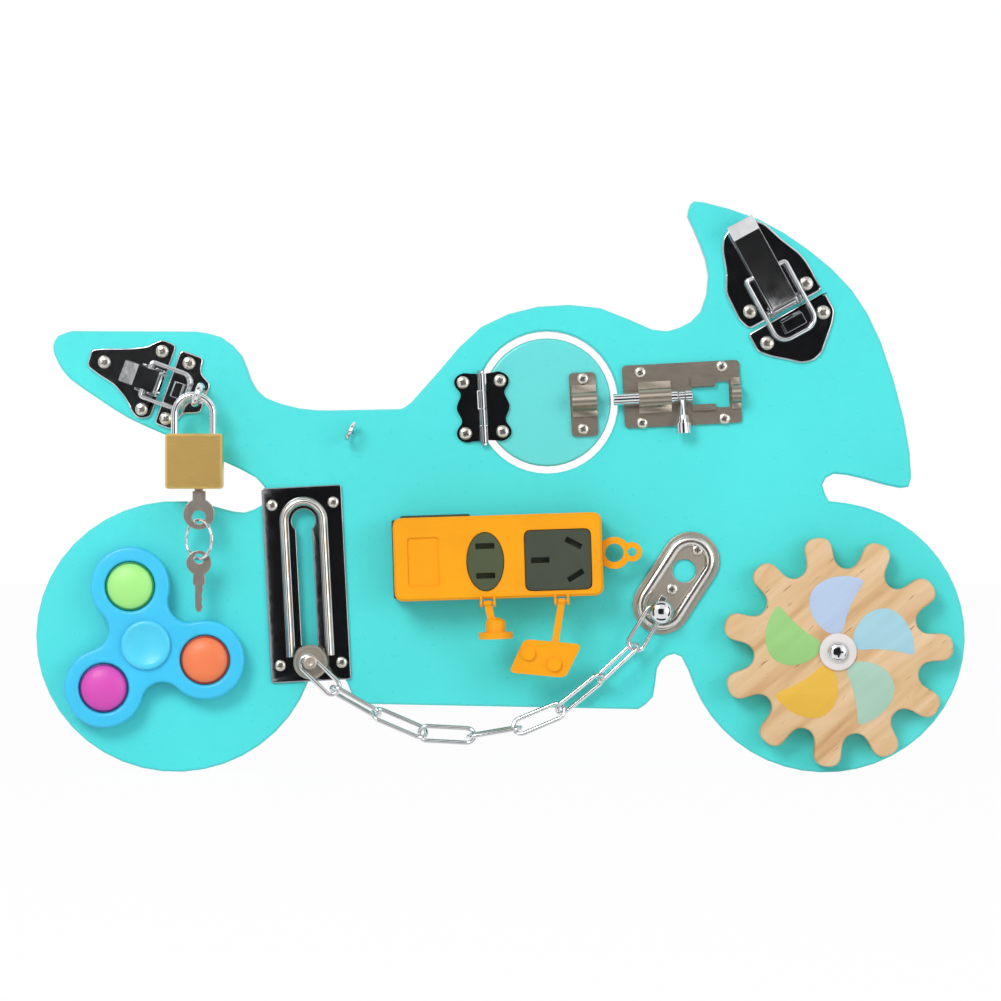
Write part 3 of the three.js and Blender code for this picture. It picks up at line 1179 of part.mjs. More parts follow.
// Socket toy: base, case, two inserts, hanging loop and two tethered caps
function slotCut([x0, y0], [x1, y1], half, near, far) {
  const length = Math.hypot(x1 - x0, y1 - y0);
  const geometry = block([-length / 2, -half, near], [length / 2, half, far]);
  geometry.rotateZ(Math.atan2(y1 - y0, x1 - x0));
  geometry.translate((x0 + x1) / 2, (y0 + y1) / 2, 0);
  return geometry;
}

function ovalShape([x, y], halfWidth, halfHeight) {
  const shape = new THREE.Shape();
  shape.absellipse(x, y, halfWidth, halfHeight, 0, 2 * Math.PI);
  return shape;
}

function capAxis(strap) {
  const [[x, y]] = squares(strap);
  return [x, y - CAP_AXIS_DROP, CAP_AXIS_HEIGHT];
}

function lugs(strap, half) {
  const [x, y, z] = capAxis(strap);
  const pieces = [];
  for (const way of [-1, 1]) {
    const inner = x + way * (half + CAP_SIDE_GAP);
    const outer = inner + way * CAP_LUG_THICKNESS;
    const low = Math.min(inner, outer);
    const high = Math.max(inner, outer);
    pieces.push(rod([low, y, z], [high, y, z], CAP_LUG_RADIUS, SMALL_SIDES));
    pieces.push(block([low, y, z - CAP_LUG_RADIUS], [high, y + CAP_AXIS_DROP + CAP_LUG_OVERHANG, z - SEAT_GAP]));
    pieces.push(block(
      [low, y + CAP_AXIS_DROP - SINK, z - 2 * CAP_LUG_RADIUS],
      [high, y + CAP_AXIS_DROP + CAP_LUG_OVERHANG, z - SEAT_GAP],
    ));
  }
  return pieces;
}

function lugBore(strap, half) {
  const [x, y, z] = capAxis(strap);
  const reach = half + CAP_SIDE_GAP + 2 * CAP_LUG_THICKNESS;
  return rod([x - reach, y, z], [x + reach, y, z], CAP_PIN_RADIUS + SEAT_GAP, SMALL_SIDES);
}

function strapPieces(strap, half) {
  const [x, y, z] = capAxis(strap);
  const [, [endX, endY]] = squares(strap);
  const reach = half + CAP_SIDE_GAP + CAP_LUG_THICKNESS;
  const thick = CAP_STRAP_THICKNESS / 2;
  return [
    rod([x - half, y, z], [x + half, y, z], CAP_BARREL_RADIUS, SMALL_SIDES),
    rod([x - reach, y, z], [x + reach, y, z], CAP_PIN_RADIUS, SMALL_SIDES),
    sheet(polygon([[x - half, y], [endX - half, endY], [endX + half, endY], [x + half, y]]), z - thick, z + thick),
  ];
}

function buildSocket() {
  const place = placeAt(SOCKET_CENTRE_PX, SOCKET_TURN);
  const base = sheet(easedShape(squares(SOCKET_BASE_SQUARES), SOCKET_EDGE), SEAT_GAP, SOCKET_BASE_TOP);
  add('socket_base', base, place, 'grey');
  const outline = squares(SOCKET_CASE_SQUARES);
  const [[lowX, lowY], , [highX, highY]] = outline;
  const hollow = sheet(
    easedShape([
      [lowX + SOCKET_WALL, lowY + SOCKET_WALL],
      [highX - SOCKET_WALL, lowY + SOCKET_WALL],
      [highX - SOCKET_WALL, highY - SOCKET_WALL],
      [lowX + SOCKET_WALL, highY - SOCKET_WALL],
    ], SOCKET_CORNER - SOCKET_EDGE),
    SOCKET_BASE_TOP - SEAT_GAP,
    SOCKET_HOLLOW_TOP,
  );
  const above = SOCKET_CASE_TOP + SOCKET_EDGE;
  const oval = square(OVAL_CENTRE_SQUARES);
  const steps = RIM_SIDES / 2;
  const ovalPocket = sheet(
    ovalShape(oval, OVAL_HALF_WIDTH + SEAT_GAP, OVAL_HALF_HEIGHT + SEAT_GAP), INSERT_FLOOR, above, 0, steps,
  );
  const [[insertX0, insertY0], , [insertX1, insertY1]] = squares(SQUARE_INSERT_SQUARES);
  const gap = SEAT_GAP;
  const squarePocket = sheet(easedShape([
    [insertX0 - gap, insertY0 - gap],
    [insertX1 + gap, insertY0 - gap],
    [insertX1 + gap, insertY1 + gap],
    [insertX0 - gap, insertY1 + gap],
  ], SQUARE_INSERT_CORNER), INSERT_FLOOR, above);
  const label = sheet(
    easedShape(squares(SOCKET_LABEL_SQUARES), SOCKET_LABEL_CORNER), SOCKET_CASE_TOP - SOCKET_LABEL_DEPTH, above,
  );
  const caseBody = shaped(
    [
      sheet(easedShape(outline, SOCKET_CORNER), SOCKET_BASE_TOP + SEAT_GAP, SOCKET_CASE_TOP, SOCKET_EDGE),
      ...lugs(ROUND_STRAP_SQUARES, ROUND_STRAP_HALF),
      ...lugs(SQUARE_STRAP_SQUARES, SQUARE_STRAP_HALF),
    ],
    [
      hollow,
      ovalPocket,
      squarePocket,
      label,
      lugBore(ROUND_STRAP_SQUARES, ROUND_STRAP_HALF),
      lugBore(SQUARE_STRAP_SQUARES, SQUARE_STRAP_HALF),
    ],
  );
  add('socket_case', caseBody, place, 'orange');
  const insertTop = SOCKET_CASE_TOP + INSERT_RISE;
  const slots = (pairs) => pairs.map((pair) => {
    const [from, to] = squares(pair);
    return slotCut(from, to, INSERT_SLOT_HALF, insertTop - INSERT_SLOT_DEPTH, above);
  });
  const ovalBody = sheet(ovalShape(oval, OVAL_HALF_WIDTH, OVAL_HALF_HEIGHT), INSERT_FLOOR + gap, insertTop, 0, steps);
  add('socket_insert_oval', shaped([ovalBody], slots(OVAL_SLOTS_SQUARES)), place, 'sage');
  const squareBody = sheet(
    easedShape(squares(SQUARE_INSERT_SQUARES), SQUARE_INSERT_CORNER), INSERT_FLOOR + gap, insertTop,
  );
  add('socket_insert_square', shaped([squareBody], slots(SQUARE_SLOTS_SQUARES)), place, 'grey');
  const ringAt = square(HANG_RING_SQUARES);
  const tipAt = square(HANG_TIP_SQUARES);
  const [footLow, footHigh] = squares(HANG_FOOT_SQUARES);
  const loop = shaped(
    [
      disc(ringAt, HANG_RING_RADIUS, HANG_BOTTOM, HANG_TOP),
      disc(tipAt, HANG_TIP_RADIUS, HANG_BOTTOM, HANG_TOP),
      block([...footLow, HANG_BOTTOM], [...footHigh, HANG_TOP]),
    ],
    [
      disc(ringAt, HANG_RING_HOLE, HANG_BOTTOM - SINK, HANG_TOP + SINK),
      disc(tipAt, HANG_TIP_HOLE, HANG_BOTTOM - SINK, HANG_TOP + SINK),
      block(
        [ringAt[0] - 2 * HANG_RING_RADIUS, ringAt[1] - HANG_RING_RADIUS, HANG_BOTTOM - SINK],
        [footLow[0], ringAt[1] + HANG_RING_RADIUS, HANG_TOP + SINK],
      ),
    ],
  );
  add('socket_hang_loop', loop, place, 'orange');
  const dome = squares(ROUND_DOME_SQUARES);
  const flange = squares(ROUND_FLANGE_SQUARES);
  const capX = (dome[0][0] + dome[1][0]) / 2;
  const domeRadius = (dome[1][0] - dome[0][0]) / 2;
  const flangeRadius = (flange[1][0] - flange[0][0]) / 2;
  const profile = [
    [0, flange[0][1]],
    [flangeRadius, flange[0][1]],
    [flangeRadius, flange[2][1]],
    [domeRadius, flange[2][1]],
    [domeRadius, dome[2][1]],
    [(dome[3][0] - dome[4][0]) / 2, dome[3][1]],
    [0, dome[3][1]],
  ].map(([x, y]) => new THREE.Vector2(x, y));
  const turned = new THREE.LatheGeometry(profile, ROUND_SIDES);
  turned.translate(capX, 0, CAP_AXIS_HEIGHT);
  const roundCap = shaped([turned, ...strapPieces(ROUND_STRAP_SQUARES, ROUND_STRAP_HALF)]);
  add('cap_round', roundCap, place, 'orange');
  const half = SQUARE_CAP_THICKNESS / 2;
  const squareCap = shaped([
    sheet(easedShape(squares(SQUARE_CAP_SQUARES), SQUARE_CAP_CORNER), CAP_AXIS_HEIGHT - half, CAP_AXIS_HEIGHT + half),
    ...squares(SQUARE_CAP_BUMPS_SQUARES).map((at) => disc(
      at, SQUARE_CAP_BUMP_RADIUS, CAP_AXIS_HEIGHT, CAP_AXIS_HEIGHT + half + SQUARE_CAP_BUMP_RISE,
    )),
    ...strapPieces(SQUARE_STRAP_SQUARES, SQUARE_STRAP_HALF),
  ]);
  add('cap_square', squareCap, place, 'orange');
}

// Wooden gear on its axle screw
function gearShape() {
  const points = [];
  for (let i = 0; i < GEAR_TEETH; i += 1) {
    const angle = radians(GEAR_FIRST_TOOTH) + (i / GEAR_TEETH) * 2 * Math.PI;
    const across = new THREE.Vector2(-Math.sin(angle), Math.cos(angle));
    const out = new THREE.Vector2(Math.cos(angle), Math.sin(angle));
    const half = GEAR_TOOTH_WIDTH / 2;
    const at = (radius, side) => out.clone().multiplyScalar(radius).addScaledVector(across, side);
    const rootOut = Math.sqrt(GEAR_ROOT_RADIUS ** 2 - half ** 2);
    points.push(at(rootOut, -half), at(GEAR_TIP_RADIUS, -half), at(GEAR_TIP_RADIUS, half), at(rootOut, half));
  }
  return easedShape(points.map((p) => [p.x, p.y]), GEAR_TOOTH_WIDTH / 2);
}

function ringDisc(radius, hole, near, far) {
  return shaped([disc([0, 0], radius, near, far)], [disc([0, 0], hole, near - SINK, far + SINK)]);
}

function buildGear() {
  const place = placeAt(GEAR_CENTRE_PX);
  const gear = shaped(
    [sheet(gearShape(), GEAR_BOTTOM, GEAR_TOP, GEAR_EDGE, CORNER_STEPS)],
    [disc([0, 0], GEAR_BORE, GEAR_BOTTOM - SINK, GEAR_TOP + SINK)],
  );
  add('gear_wheel', gear, place, 'wood');
  const bore = GEAR_BORE - SPACER_BORE_LESS;
  add('gear_spacer', ringDisc(GEAR_WASHER_RADIUS, bore, SEAT_GAP, GEAR_BOTTOM - SEAT_GAP), place, 'white');
  const washerBottom = GEAR_TOP + SEAT_GAP;
  const washerTop = washerBottom + WASHER_THICKNESS;
  add('gear_washer', ringDisc(GEAR_WASHER_RADIUS, bore, washerBottom, washerTop), place, 'white');
  const headBottom = washerTop + SEAT_GAP;
  const screw = shaped([
    disc([0, 0], AXLE_RADIUS, SEAT_GAP - BORE_DEPTH, headBottom + SINK),
    disc([0, 0], AXLE_HEAD_RADIUS, headBottom, headBottom + AXLE_HEAD_THICKNESS),
  ]);
  add('gear_axle_screw', screw, place, 'chrome');
}

// Three-lobed spinner with its push domes
function spinnerShape() {
  const shape = new THREE.Shape();
  const lobes = [...LOBE_ANGLES].sort((a, b) => a - b).map((degrees) => radians(degrees));
  const reach = Math.PI / lobes.length;
  const across = LOBE_DISTANCE * Math.sin(reach);
  const waistDistance = LOBE_DISTANCE * Math.cos(reach) + Math.sqrt((LOBE_RADIUS + WAIST_RADIUS) ** 2 - across ** 2);
  const at = (angle, radius) => new THREE.Vector2(Math.cos(angle) * radius, Math.sin(angle) * radius);
  const bearing = (from, to) => Math.atan2(to.y - from.y, to.x - from.x);
  for (const angle of lobes) {
    const lobe = at(angle, LOBE_DISTANCE);
    const before = at(angle - reach, waistDistance);
    const after = at(angle + reach, waistDistance);
    const next = at(angle + 2 * reach, LOBE_DISTANCE);
    shape.absarc(lobe.x, lobe.y, LOBE_RADIUS, bearing(lobe, before), bearing(lobe, after), false);
    shape.absarc(after.x, after.y, WAIST_RADIUS, bearing(after, lobe), bearing(after, next), true);
  }
  return shape;
}

function buildSpinner() {
  const place = placeAt(SPINNER_CENTRE_PX);
  const lobes = LOBE_ANGLES.map((degrees) => {
    const angle = radians(degrees);
    return [Math.cos(angle) * LOBE_DISTANCE, Math.sin(angle) * LOBE_DISTANCE];
  });
  const recessFloor = SPINNER_POST_TOP - SEAT_GAP;
  const low = SPINNER_BOTTOM - SINK;
  const high = SPINNER_TOP + SINK;
  const body = shaped(
    [sheet(spinnerShape(), SPINNER_BOTTOM, SPINNER_TOP, SPINNER_EDGE, ARC_STEPS)],
    [
      disc([0, 0], SPINNER_BORE, low, high),
      disc([0, 0], SPINNER_RECESS_RADIUS, recessFloor, high),
      ...lobes.map((at) => disc(at, DOME_RADIUS + RUN_GAP, low, high, RIM_SIDES)),
    ],
  );
  add('spinner_body', body, place, 'sky');
  const post = shaped([
    disc([0, 0], SPINNER_POST_RADIUS, SEAT_GAP - BORE_DEPTH, SPINNER_POST_TOP + SINK),
    disc([0, 0], SPINNER_POST_HEAD, SPINNER_POST_TOP, SPINNER_POST_TOP + AXLE_HEAD_THICKNESS),
  ]);
  add('spinner_post', post, place, 'steel');
  add('spinner_spacer', ringDisc(SPINNER_RECESS_RADIUS, SPINNER_BORE, SEAT_GAP, SPINNER_BOTTOM - SEAT_GAP), place, 'white');
  const hub = polygon(arcPoints([0, 0], HUB_CAP_RADIUS, 0, 2 * Math.PI, RIM_SIDES).slice(1));
  add('spinner_hub_cap', sheet(hub, SPINNER_TOP + SEAT_GAP, HUB_CAP_TOP, HUB_CAP_EDGE), place, 'sky');
  const inner = DOME_RADIUS - DOME_WALL;
  const shoulderX = DOME_RADIUS * DOME_SHOULDER_SHARE;
  const shoulderY = DOME_SHOULDER + (DOME_TOP - DOME_SHOULDER) * DOME_SHOULDER_SHARE;
  const profile = [
    [0, DOME_TOP - DOME_WALL],
    [shoulderX - DOME_WALL, shoulderY - DOME_WALL],
    [inner, DOME_SHOULDER - DOME_WALL / 2],
    [inner, DOME_BOTTOM],
    [DOME_RADIUS, DOME_BOTTOM],
    [DOME_RADIUS, DOME_SHOULDER],
    [shoulderX, shoulderY],
    [shoulderX / 2, DOME_TOP],
    [0, DOME_TOP],
  ].map(([x, y]) => new THREE.Vector2(x, y));
  ['green', 'orange', 'magenta'].forEach((colour, i) => {
    const dome = new THREE.LatheGeometry(profile, RIM_SIDES);
    dome.rotateX(Math.PI / 2);
    dome.translate(lobes[i][0], lobes[i][1], 0);
    add(`dome_${colour}`, shaped([dome]), place, colour);
  });
}

// Screw eye
function buildEye() {
  const place = placeAt(EYE_CENTRE_PX, EYE_TURN);
  const ring = wireLoop(arcPoints([0, 0], EYE_RING_RADIUS, 0, 2 * Math.PI, EYE_STEPS).slice(1), EYE_WIRE_RADIUS);
  ring.rotateX(Math.PI / 2);
  ring.translate(0, 0, EYE_HEIGHT);
  const shank = disc([0, 0], EYE_WIRE_RADIUS, SEAT_GAP - BORE_DEPTH, EYE_HEIGHT - EYE_RING_RADIUS, SMALL_SIDES);
  add('screw_eye', shaped([ring, shank]), place, 'chrome');
}

buildPanel();
buildHinge();
buildBolt();
buildLatch();
buildHasp();
buildLock();
buildTrack();
buildChain();
buildAnchor();
buildSocket();
buildGear();
buildSpinner();
buildEye();

export default board;
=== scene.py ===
import json
import math

import bmesh
import bpy
from mathutils import Matrix, Vector


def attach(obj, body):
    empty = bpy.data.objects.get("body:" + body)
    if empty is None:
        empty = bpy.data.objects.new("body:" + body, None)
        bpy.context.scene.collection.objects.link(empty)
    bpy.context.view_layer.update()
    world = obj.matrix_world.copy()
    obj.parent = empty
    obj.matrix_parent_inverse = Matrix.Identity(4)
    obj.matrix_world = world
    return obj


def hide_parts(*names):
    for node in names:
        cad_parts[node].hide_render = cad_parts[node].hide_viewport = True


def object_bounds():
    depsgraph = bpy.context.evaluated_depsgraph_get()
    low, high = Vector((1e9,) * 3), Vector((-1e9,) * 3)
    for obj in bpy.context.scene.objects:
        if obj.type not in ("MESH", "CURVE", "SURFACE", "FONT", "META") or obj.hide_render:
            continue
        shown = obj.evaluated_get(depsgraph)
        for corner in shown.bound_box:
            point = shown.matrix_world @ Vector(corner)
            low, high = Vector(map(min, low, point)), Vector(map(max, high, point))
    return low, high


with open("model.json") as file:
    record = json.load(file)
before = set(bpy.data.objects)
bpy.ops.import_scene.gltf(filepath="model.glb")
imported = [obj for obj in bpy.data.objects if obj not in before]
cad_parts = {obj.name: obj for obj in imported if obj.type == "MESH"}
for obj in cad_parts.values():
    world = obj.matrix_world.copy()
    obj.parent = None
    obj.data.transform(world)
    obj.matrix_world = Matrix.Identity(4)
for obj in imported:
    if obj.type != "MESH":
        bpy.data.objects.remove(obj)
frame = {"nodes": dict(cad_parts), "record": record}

CAD_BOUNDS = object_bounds()

# Scale of the photograph, in metres
MM = 0.001
BOARD_LENGTH = 400 * MM
BOARD_LENGTH_PX = 929
PHOTO_WIDTH_PX = 1001
PHOTO_PIXEL = BOARD_LENGTH / BOARD_LENGTH_PX
ORIGIN_PX = (500.5, 487)
BOARD_FRONT = 9 * MM

# Heights over the board, in millimetres
PLATE_BOTTOM = 0.3
PLATE_TOP = 1.5
BAIL_HEIGHT = 5
CHAIN_HEIGHT = 8.4
PADLOCK_HEIGHT = 14.2

# Tolerances of the meshes, in millimetres and degrees
CAD_WELD = 0.004
SEAM_WELD = 0.001
SLAB_WELD = 0.002
SAME_LEVEL = 0.05
FLAT_ANGLE = 1


def on_board(centre_px, turn=0):
    """The place of a fitting: x to the right, y up the board and z out of its front."""
    x = (centre_px[0] - ORIGIN_PX[0]) * PHOTO_PIXEL
    z = (ORIGIN_PX[1] - centre_px[1]) * PHOTO_PIXEL
    upright = Matrix.Rotation(math.radians(90), 4, "X")
    about_centre = Matrix.Rotation(math.radians(turn), 4, "Z")
    return Matrix.Translation((x, -BOARD_FRONT, z)) @ upright @ about_centre


def colour(code):
    """A linear colour from its six-figure sRGB code."""
    channels = [int(code[i:i + 2], 16) / 255 for i in (0, 2, 4)]
    linear = [c / 12.92 if c <= 0.04045 else ((c + 0.055) / 1.055) ** 2.4 for c in channels]
    return (*linear, 1)


# Finishes
COAT_ROUGHNESS = 0.12
SUBSURFACE_SCALE = 1.5 * MM
GRAIN_TURN = (0, -50, 0)


class Finish:
    """A material under construction, with its shader and its object coordinates."""

    def __init__(self, name, base, roughness, metallic=0, coat=0, specular=0.5):
        self.material = bpy.data.materials.new(name)
        self.material.use_nodes = True
        self.nodes = self.material.node_tree.nodes
        self.links = self.material.node_tree.links
        self.shader = self.nodes["Principled BSDF"]
        self.base = colour(base)
        self.set("Base Color", self.base)
        self.set("Roughness", roughness)
        self.set("Metallic", metallic)
        self.set("Coat Weight", coat)
        self.set("Coat Roughness", COAT_ROUGHNESS)
        self.set("Specular IOR Level", specular)
        self.place = self.nodes.new("ShaderNodeTexCoord").outputs["Object"]
        self.bumps = None

    def set(self, socket, value):
        self.shader.inputs[socket].default_value = value

    def stretched(self, scale, turn=(0, 0, 0)):
        """Coordinates that are first turned, by angles in degrees, and then stretched."""
        place = self.place
        angles = [math.radians(angle) for angle in turn]
        for socket, value in (("Rotation", angles), ("Scale", scale)):
            mapping = self.nodes.new("ShaderNodeMapping")
            mapping.inputs[socket].default_value = value
            self.links.new(place, mapping.inputs["Vector"])
            place = mapping.outputs["Vector"]
        return place

    def noise(self, scale, detail=3, vector=None, distortion=0):
        node = self.nodes.new("ShaderNodeTexNoise")
        node.inputs["Scale"].default_value = scale
        node.inputs["Detail"].default_value = detail
        node.inputs["Distortion"].default_value = distortion
        self.links.new(vector or self.place, node.inputs["Vector"])
        return node.outputs["Fac"]

    def ramp(self, value, stops):
        node = self.nodes.new("ShaderNodeValToRGB")
        first, last = node.color_ramp.elements
        first.position, first.color = stops[0]
        last.position, last.color = stops[-1]
        for position, tint in stops[1:-1]:
            node.color_ramp.elements.new(position).color = tint
        self.links.new(value, node.inputs["Fac"])
        return node.outputs["Color"]

    def grey(self, value, low, high, start=0.3, end=0.7):
        """The value drawn into a range of numbers."""
        node = self.nodes.new("ShaderNodeMapRange")
        limits = {"From Min": start, "From Max": end, "To Min": low, "To Max": high}
        for socket, number in limits.items():
            node.inputs[socket].default_value = number
        self.links.new(value, node.inputs["Value"])
        return node.outputs["Result"]

    def mixed(self, share, first, second):
        node = self.nodes.new("ShaderNodeMix")
        node.data_type = "RGBA"
        self.links.new(share, node.inputs[0])
        for socket, tint in ((node.inputs[6], first), (node.inputs[7], second)):
            if isinstance(tint, tuple):
                socket.default_value = tint
            else:
                self.links.new(tint, socket)
        return node.outputs[2]

    def tint(self, source):
        self.links.new(source, self.shader.inputs["Base Color"])

    def rough(self, source):
        self.links.new(source, self.shader.inputs["Roughness"])

    def bump(self, height, depth):
        node = self.nodes.new("ShaderNodeBump")
        node.inputs["Distance"].default_value = depth
        node.inputs["Strength"].default_value = 1
        self.links.new(height, node.inputs["Height"])
        if self.bumps:
            self.links.new(self.bumps, node.inputs["Normal"])
        self.bumps = node.outputs["Normal"]
        self.links.new(self.bumps, self.shader.inputs["Normal"])

    def facing(self, axis):
        """How squarely a surface faces along an axis of the board, from 0 to 1."""
        split = self.nodes.new("ShaderNodeSeparateXYZ")
        normal = self.nodes.new("ShaderNodeTexCoord").outputs["Normal"]
        self.links.new(normal, split.inputs[0])
        size = self.nodes.new("ShaderNodeMath")
        size.operation = "ABSOLUTE"
        self.links.new(split.outputs[axis], size.inputs[0])
        return size.outputs[0]


def shade(tint, share):
    return (*[channel * share for channel in tint[:3]], 1)


def shades(finish, source, low, high, start=0.3, end=0.7):
    """The finish's own colour, between two shares of it by a value."""
    share = finish.grey(source, 0, 1, start, end)
    return finish.mixed(share, shade(finish.base, low), shade(finish.base, high))


def board_paint(name, face, edge):
    """Satin paint with faint clouds, and the plies of the sheet on its edges."""
    paint = Finish(name, face, roughness=0.32, coat=0.35)
    clouds = shades(paint, paint.noise(scale=14, detail=4), 0.95, 1.03)
    plies = paint.noise(scale=1, vector=paint.stretched((60, 900, 60)))
    cut = paint.mixed(paint.grey(plies, 0, 1), colour(edge), shade(colour(edge), 0.78))
    front = paint.grey(paint.facing("Y"), 0, 1, start=0.25, end=0.75)
    paint.tint(paint.mixed(front, cut, clouds))
    paint.rough(paint.grey(paint.noise(scale=420), 0.27, 0.4))
    paint.bump(paint.noise(scale=700, detail=2), depth=0.02 * MM)
    paint.bump(paint.noise(scale=60, detail=4, vector=paint.stretched((1, 1, 7))), depth=0.03 * MM)
    return paint.material


def plated(name, base, roughness, smears=0.06):
    """Mirror plating with faint smears and pits."""
    metal = Finish(name, base, roughness, metallic=1)
    metal.tint(shades(metal, metal.noise(scale=120, detail=5), 0.9, 1.04))
    swirls = metal.noise(scale=260, detail=5, distortion=1.2)
    metal.rough(metal.grey(swirls, roughness, roughness + smears))
    metal.bump(metal.noise(scale=180, detail=2), depth=0.02 * MM)
    return metal.material


def brushed(name, base, roughness, stretch, depth=0.006):
    """Metal with fine parallel scratches and a few faint stains."""
    metal = Finish(name, base, roughness, metallic=1)
    scratches = metal.noise(scale=1, vector=metal.stretched(stretch))
    stains = metal.grey(metal.noise(scale=70, detail=4), 0, 1, start=0.2, end=0.8)
    tone = shades(metal, scratches, 0.94, 1.03)
    worn = shades(metal, scratches, 0.88, 0.98)
    metal.tint(metal.mixed(stains, worn, tone))
    metal.rough(metal.grey(scratches, roughness - 0.02, roughness + 0.04))
    metal.bump(scratches, depth * MM)
    return metal.material


def moulded(name, base, roughness, grain=0.03, coat=0.1, soft=0, specular=0.5):
    """Plastic with a fine mould grain and slight colour drift."""
    plastic = Finish(name, base, roughness, coat=coat, specular=specular)
    plastic.set("Subsurface Weight", soft)
    plastic.set("Subsurface Scale", SUBSURFACE_SCALE)
    plastic.tint(shades(plastic, plastic.noise(scale=45, detail=4), 0.93, 1.03))
    spots = plastic.noise(scale=900, detail=2)
    plastic.rough(plastic.grey(spots, roughness - 0.05, roughness + 0.08))
    plastic.bump(plastic.noise(scale=1600, detail=2), depth=grain * MM)
    return plastic.material


def gear_wood():
    """Pale wood whose grain runs up to the right, with short dark pores."""
    wood = Finish("gear_beech", "dfbb8d", roughness=0.5, coat=0.08)
    along = wood.stretched((150, 90, 18), GRAIN_TURN)
    bands = wood.ramp(wood.noise(scale=1, detail=5, vector=along, distortion=0.5), [
        (0.3, colour("cc9d6d")), (0.5, colour("dfb98a")), (0.72, colour("ebcaa4")),
    ])
    flecks = wood.noise(scale=1, vector=wood.stretched((900, 500, 95), GRAIN_TURN))
    pores = wood.grey(flecks, 0, 1, start=0.66, end=0.74)
    wood.tint(wood.mixed(pores, bands, colour("a97a4d")))
    wood.rough(wood.grey(wood.noise(scale=300), 0.42, 0.6))
    wood.bump(pores, depth=-0.06 * MM)
    fibres = wood.noise(scale=1, detail=4, vector=wood.stretched((700, 400, 40), GRAIN_TURN))
    wood.bump(fibres, depth=0.03 * MM)
    return wood.material


def petal_paint(name, code):
    """Thin matt paint that lets the grain under it show a little."""
    paint = Finish(name, code, roughness=0.55)
    grain = paint.noise(scale=1, detail=5, vector=paint.stretched((300, 180, 30), GRAIN_TURN))
    paint.tint(shades(paint, grain, 0.95, 1.02))
    paint.rough(paint.grey(paint.noise(scale=500), 0.48, 0.64))
    paint.bump(grain, depth=0.03 * MM)
    return paint.material


FINISHES = {
    "teal": board_paint("board_teal", "50e8e8", "4cbfbd"),
    "pale_teal": board_paint("door_teal", "68e1e0", "5ec5c2"),
    "black_chrome": plated("black_plating", "a9abb0", 0.07),
    "chrome": plated("bright_chrome", "e2e3e5", 0.07),
    "steel": brushed("brushed_steel", "b9b0a4", 0.4, (5200, 5200, 260)),
    "brass": brushed("satin_brass", "e6c074", 0.34, (240, 3200, 5600)),
    "orange_plastic": moulded("orange_case", "ffa808", 0.42, coat=0, specular=0.25),
    "grey_plastic": moulded("dark_insert", "434a3c", 0.5, coat=0, specular=0.3),
    "sage_plastic": moulded("sage_insert", "4e573d", 0.5, coat=0, specular=0.3),
    "natural_wood": gear_wood(),
    "white_plastic": moulded("white_washer", "ece6e4", 0.4),
    "sky_plastic": moulded("sky_spinner", "4fd8fb", 0.36, soft=0.05),
    "sky_body": moulded("sky_body", "3acdfc", 0.36, soft=0.05),
    "green_silicone": moulded("green_dome", "aef58c", 0.42, soft=0.15),
    "orange_silicone": moulded("orange_dome", "fa824e", 0.42, soft=0.15),
    "magenta_silicone": moulded("magenta_dome", "e04cbc", 0.42, soft=0.15),
}
# A brighter metal for raised bands and rims: a painted highlight on plates of one finish.
BAND_HIGHLIGHT = plated("band_highlight_metal", "dcd8d2", 0.2)
BOLT_STEEL = brushed("bolt_steel", "ada396", 0.33, (260, 5200, 5200))
SCREW_STEEL = brushed("screw_head", "d8d4ca", 0.24, (2500, 2500, 2500))
KEY_STEEL = brushed("key_blank", "c4bab0", 0.3, (5200, 2400, 300), depth=0.004)

BEHAVIOUR = frame["record"]["behaviour"]
BODY_OF = {node: body for body, nodes in BEHAVIOUR["bodies"].items() for node in nodes}
SLOT_OF = {
    "board_panel": "teal", "door_disc": "pale_teal", "gear_wheel": "natural_wood",
    "padlock_body": "brass", "lock_plug": "brass", "socket_insert_oval": "sage_plastic",
    "dome_green": "green_silicone", "dome_orange": "orange_silicone",
    "dome_magenta": "magenta_silicone",
}
for slot, nodes in {
    "black_chrome": "hinge_leaf_fixed hinge_leaf_door hinge_pin latch_base latch_keeper "
    "track_plate",
    "chrome": "bolt_rod bolt_knob latch_lever latch_pin latch_bail hasp_base hasp_staple hasp_pin "
    "hasp_bail padlock_shackle key_ring screw_eye gear_axle_screw",
    "steel": "bolt_housing door_keeper hasp_lever key_in_lock spare_key slide_button anchor_plate "
    "spinner_post",
    "orange_plastic": "socket_case socket_hang_loop cap_round cap_square",
    "grey_plastic": "socket_base socket_insert_square",
    "white_plastic": "gear_spacer gear_washer spinner_spacer",
    "sky_plastic": "spinner_body spinner_hub_cap",
}.items():
    SLOT_OF.update({node: slot for node in nodes.split()})
for number in range(1, 10):
    SLOT_OF[f"chain_link_{number}"] = "chrome"


# Making pieces
def settle(piece, node_or_body, finish=None, stands_for=()):
    """Gives a piece its body, its finish and the nodes it stands for."""
    body = BODY_OF.get(node_or_body, node_or_body)
    if finish:
        piece.data.materials.clear()
        piece.data.materials.append(finish)
    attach(piece, body)
    if stands_for:
        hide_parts(*stands_for)
    return piece


def plain_mesh(rough, name, place=None):
    """The finished mesh of an object with modifiers or a curve, with its place baked in."""
    bpy.context.view_layer.update()
    graph = bpy.context.evaluated_depsgraph_get()
    mesh = bpy.data.meshes.new_from_object(rough.evaluated_get(graph), depsgraph=graph)
    bpy.data.objects.remove(rough)
    mesh.name = name
    if place is not None:
        mesh.transform(place)
    piece = bpy.data.objects.new(name, mesh)
    bpy.context.scene.collection.objects.link(piece)
    return piece


def soften(mesh, degrees=38):
    """Smooth shading with sharp edges above an angle."""
    for face in mesh.polygons:
        face.use_smooth = True
    mesh.set_sharp_from_angle(angle=math.radians(degrees))


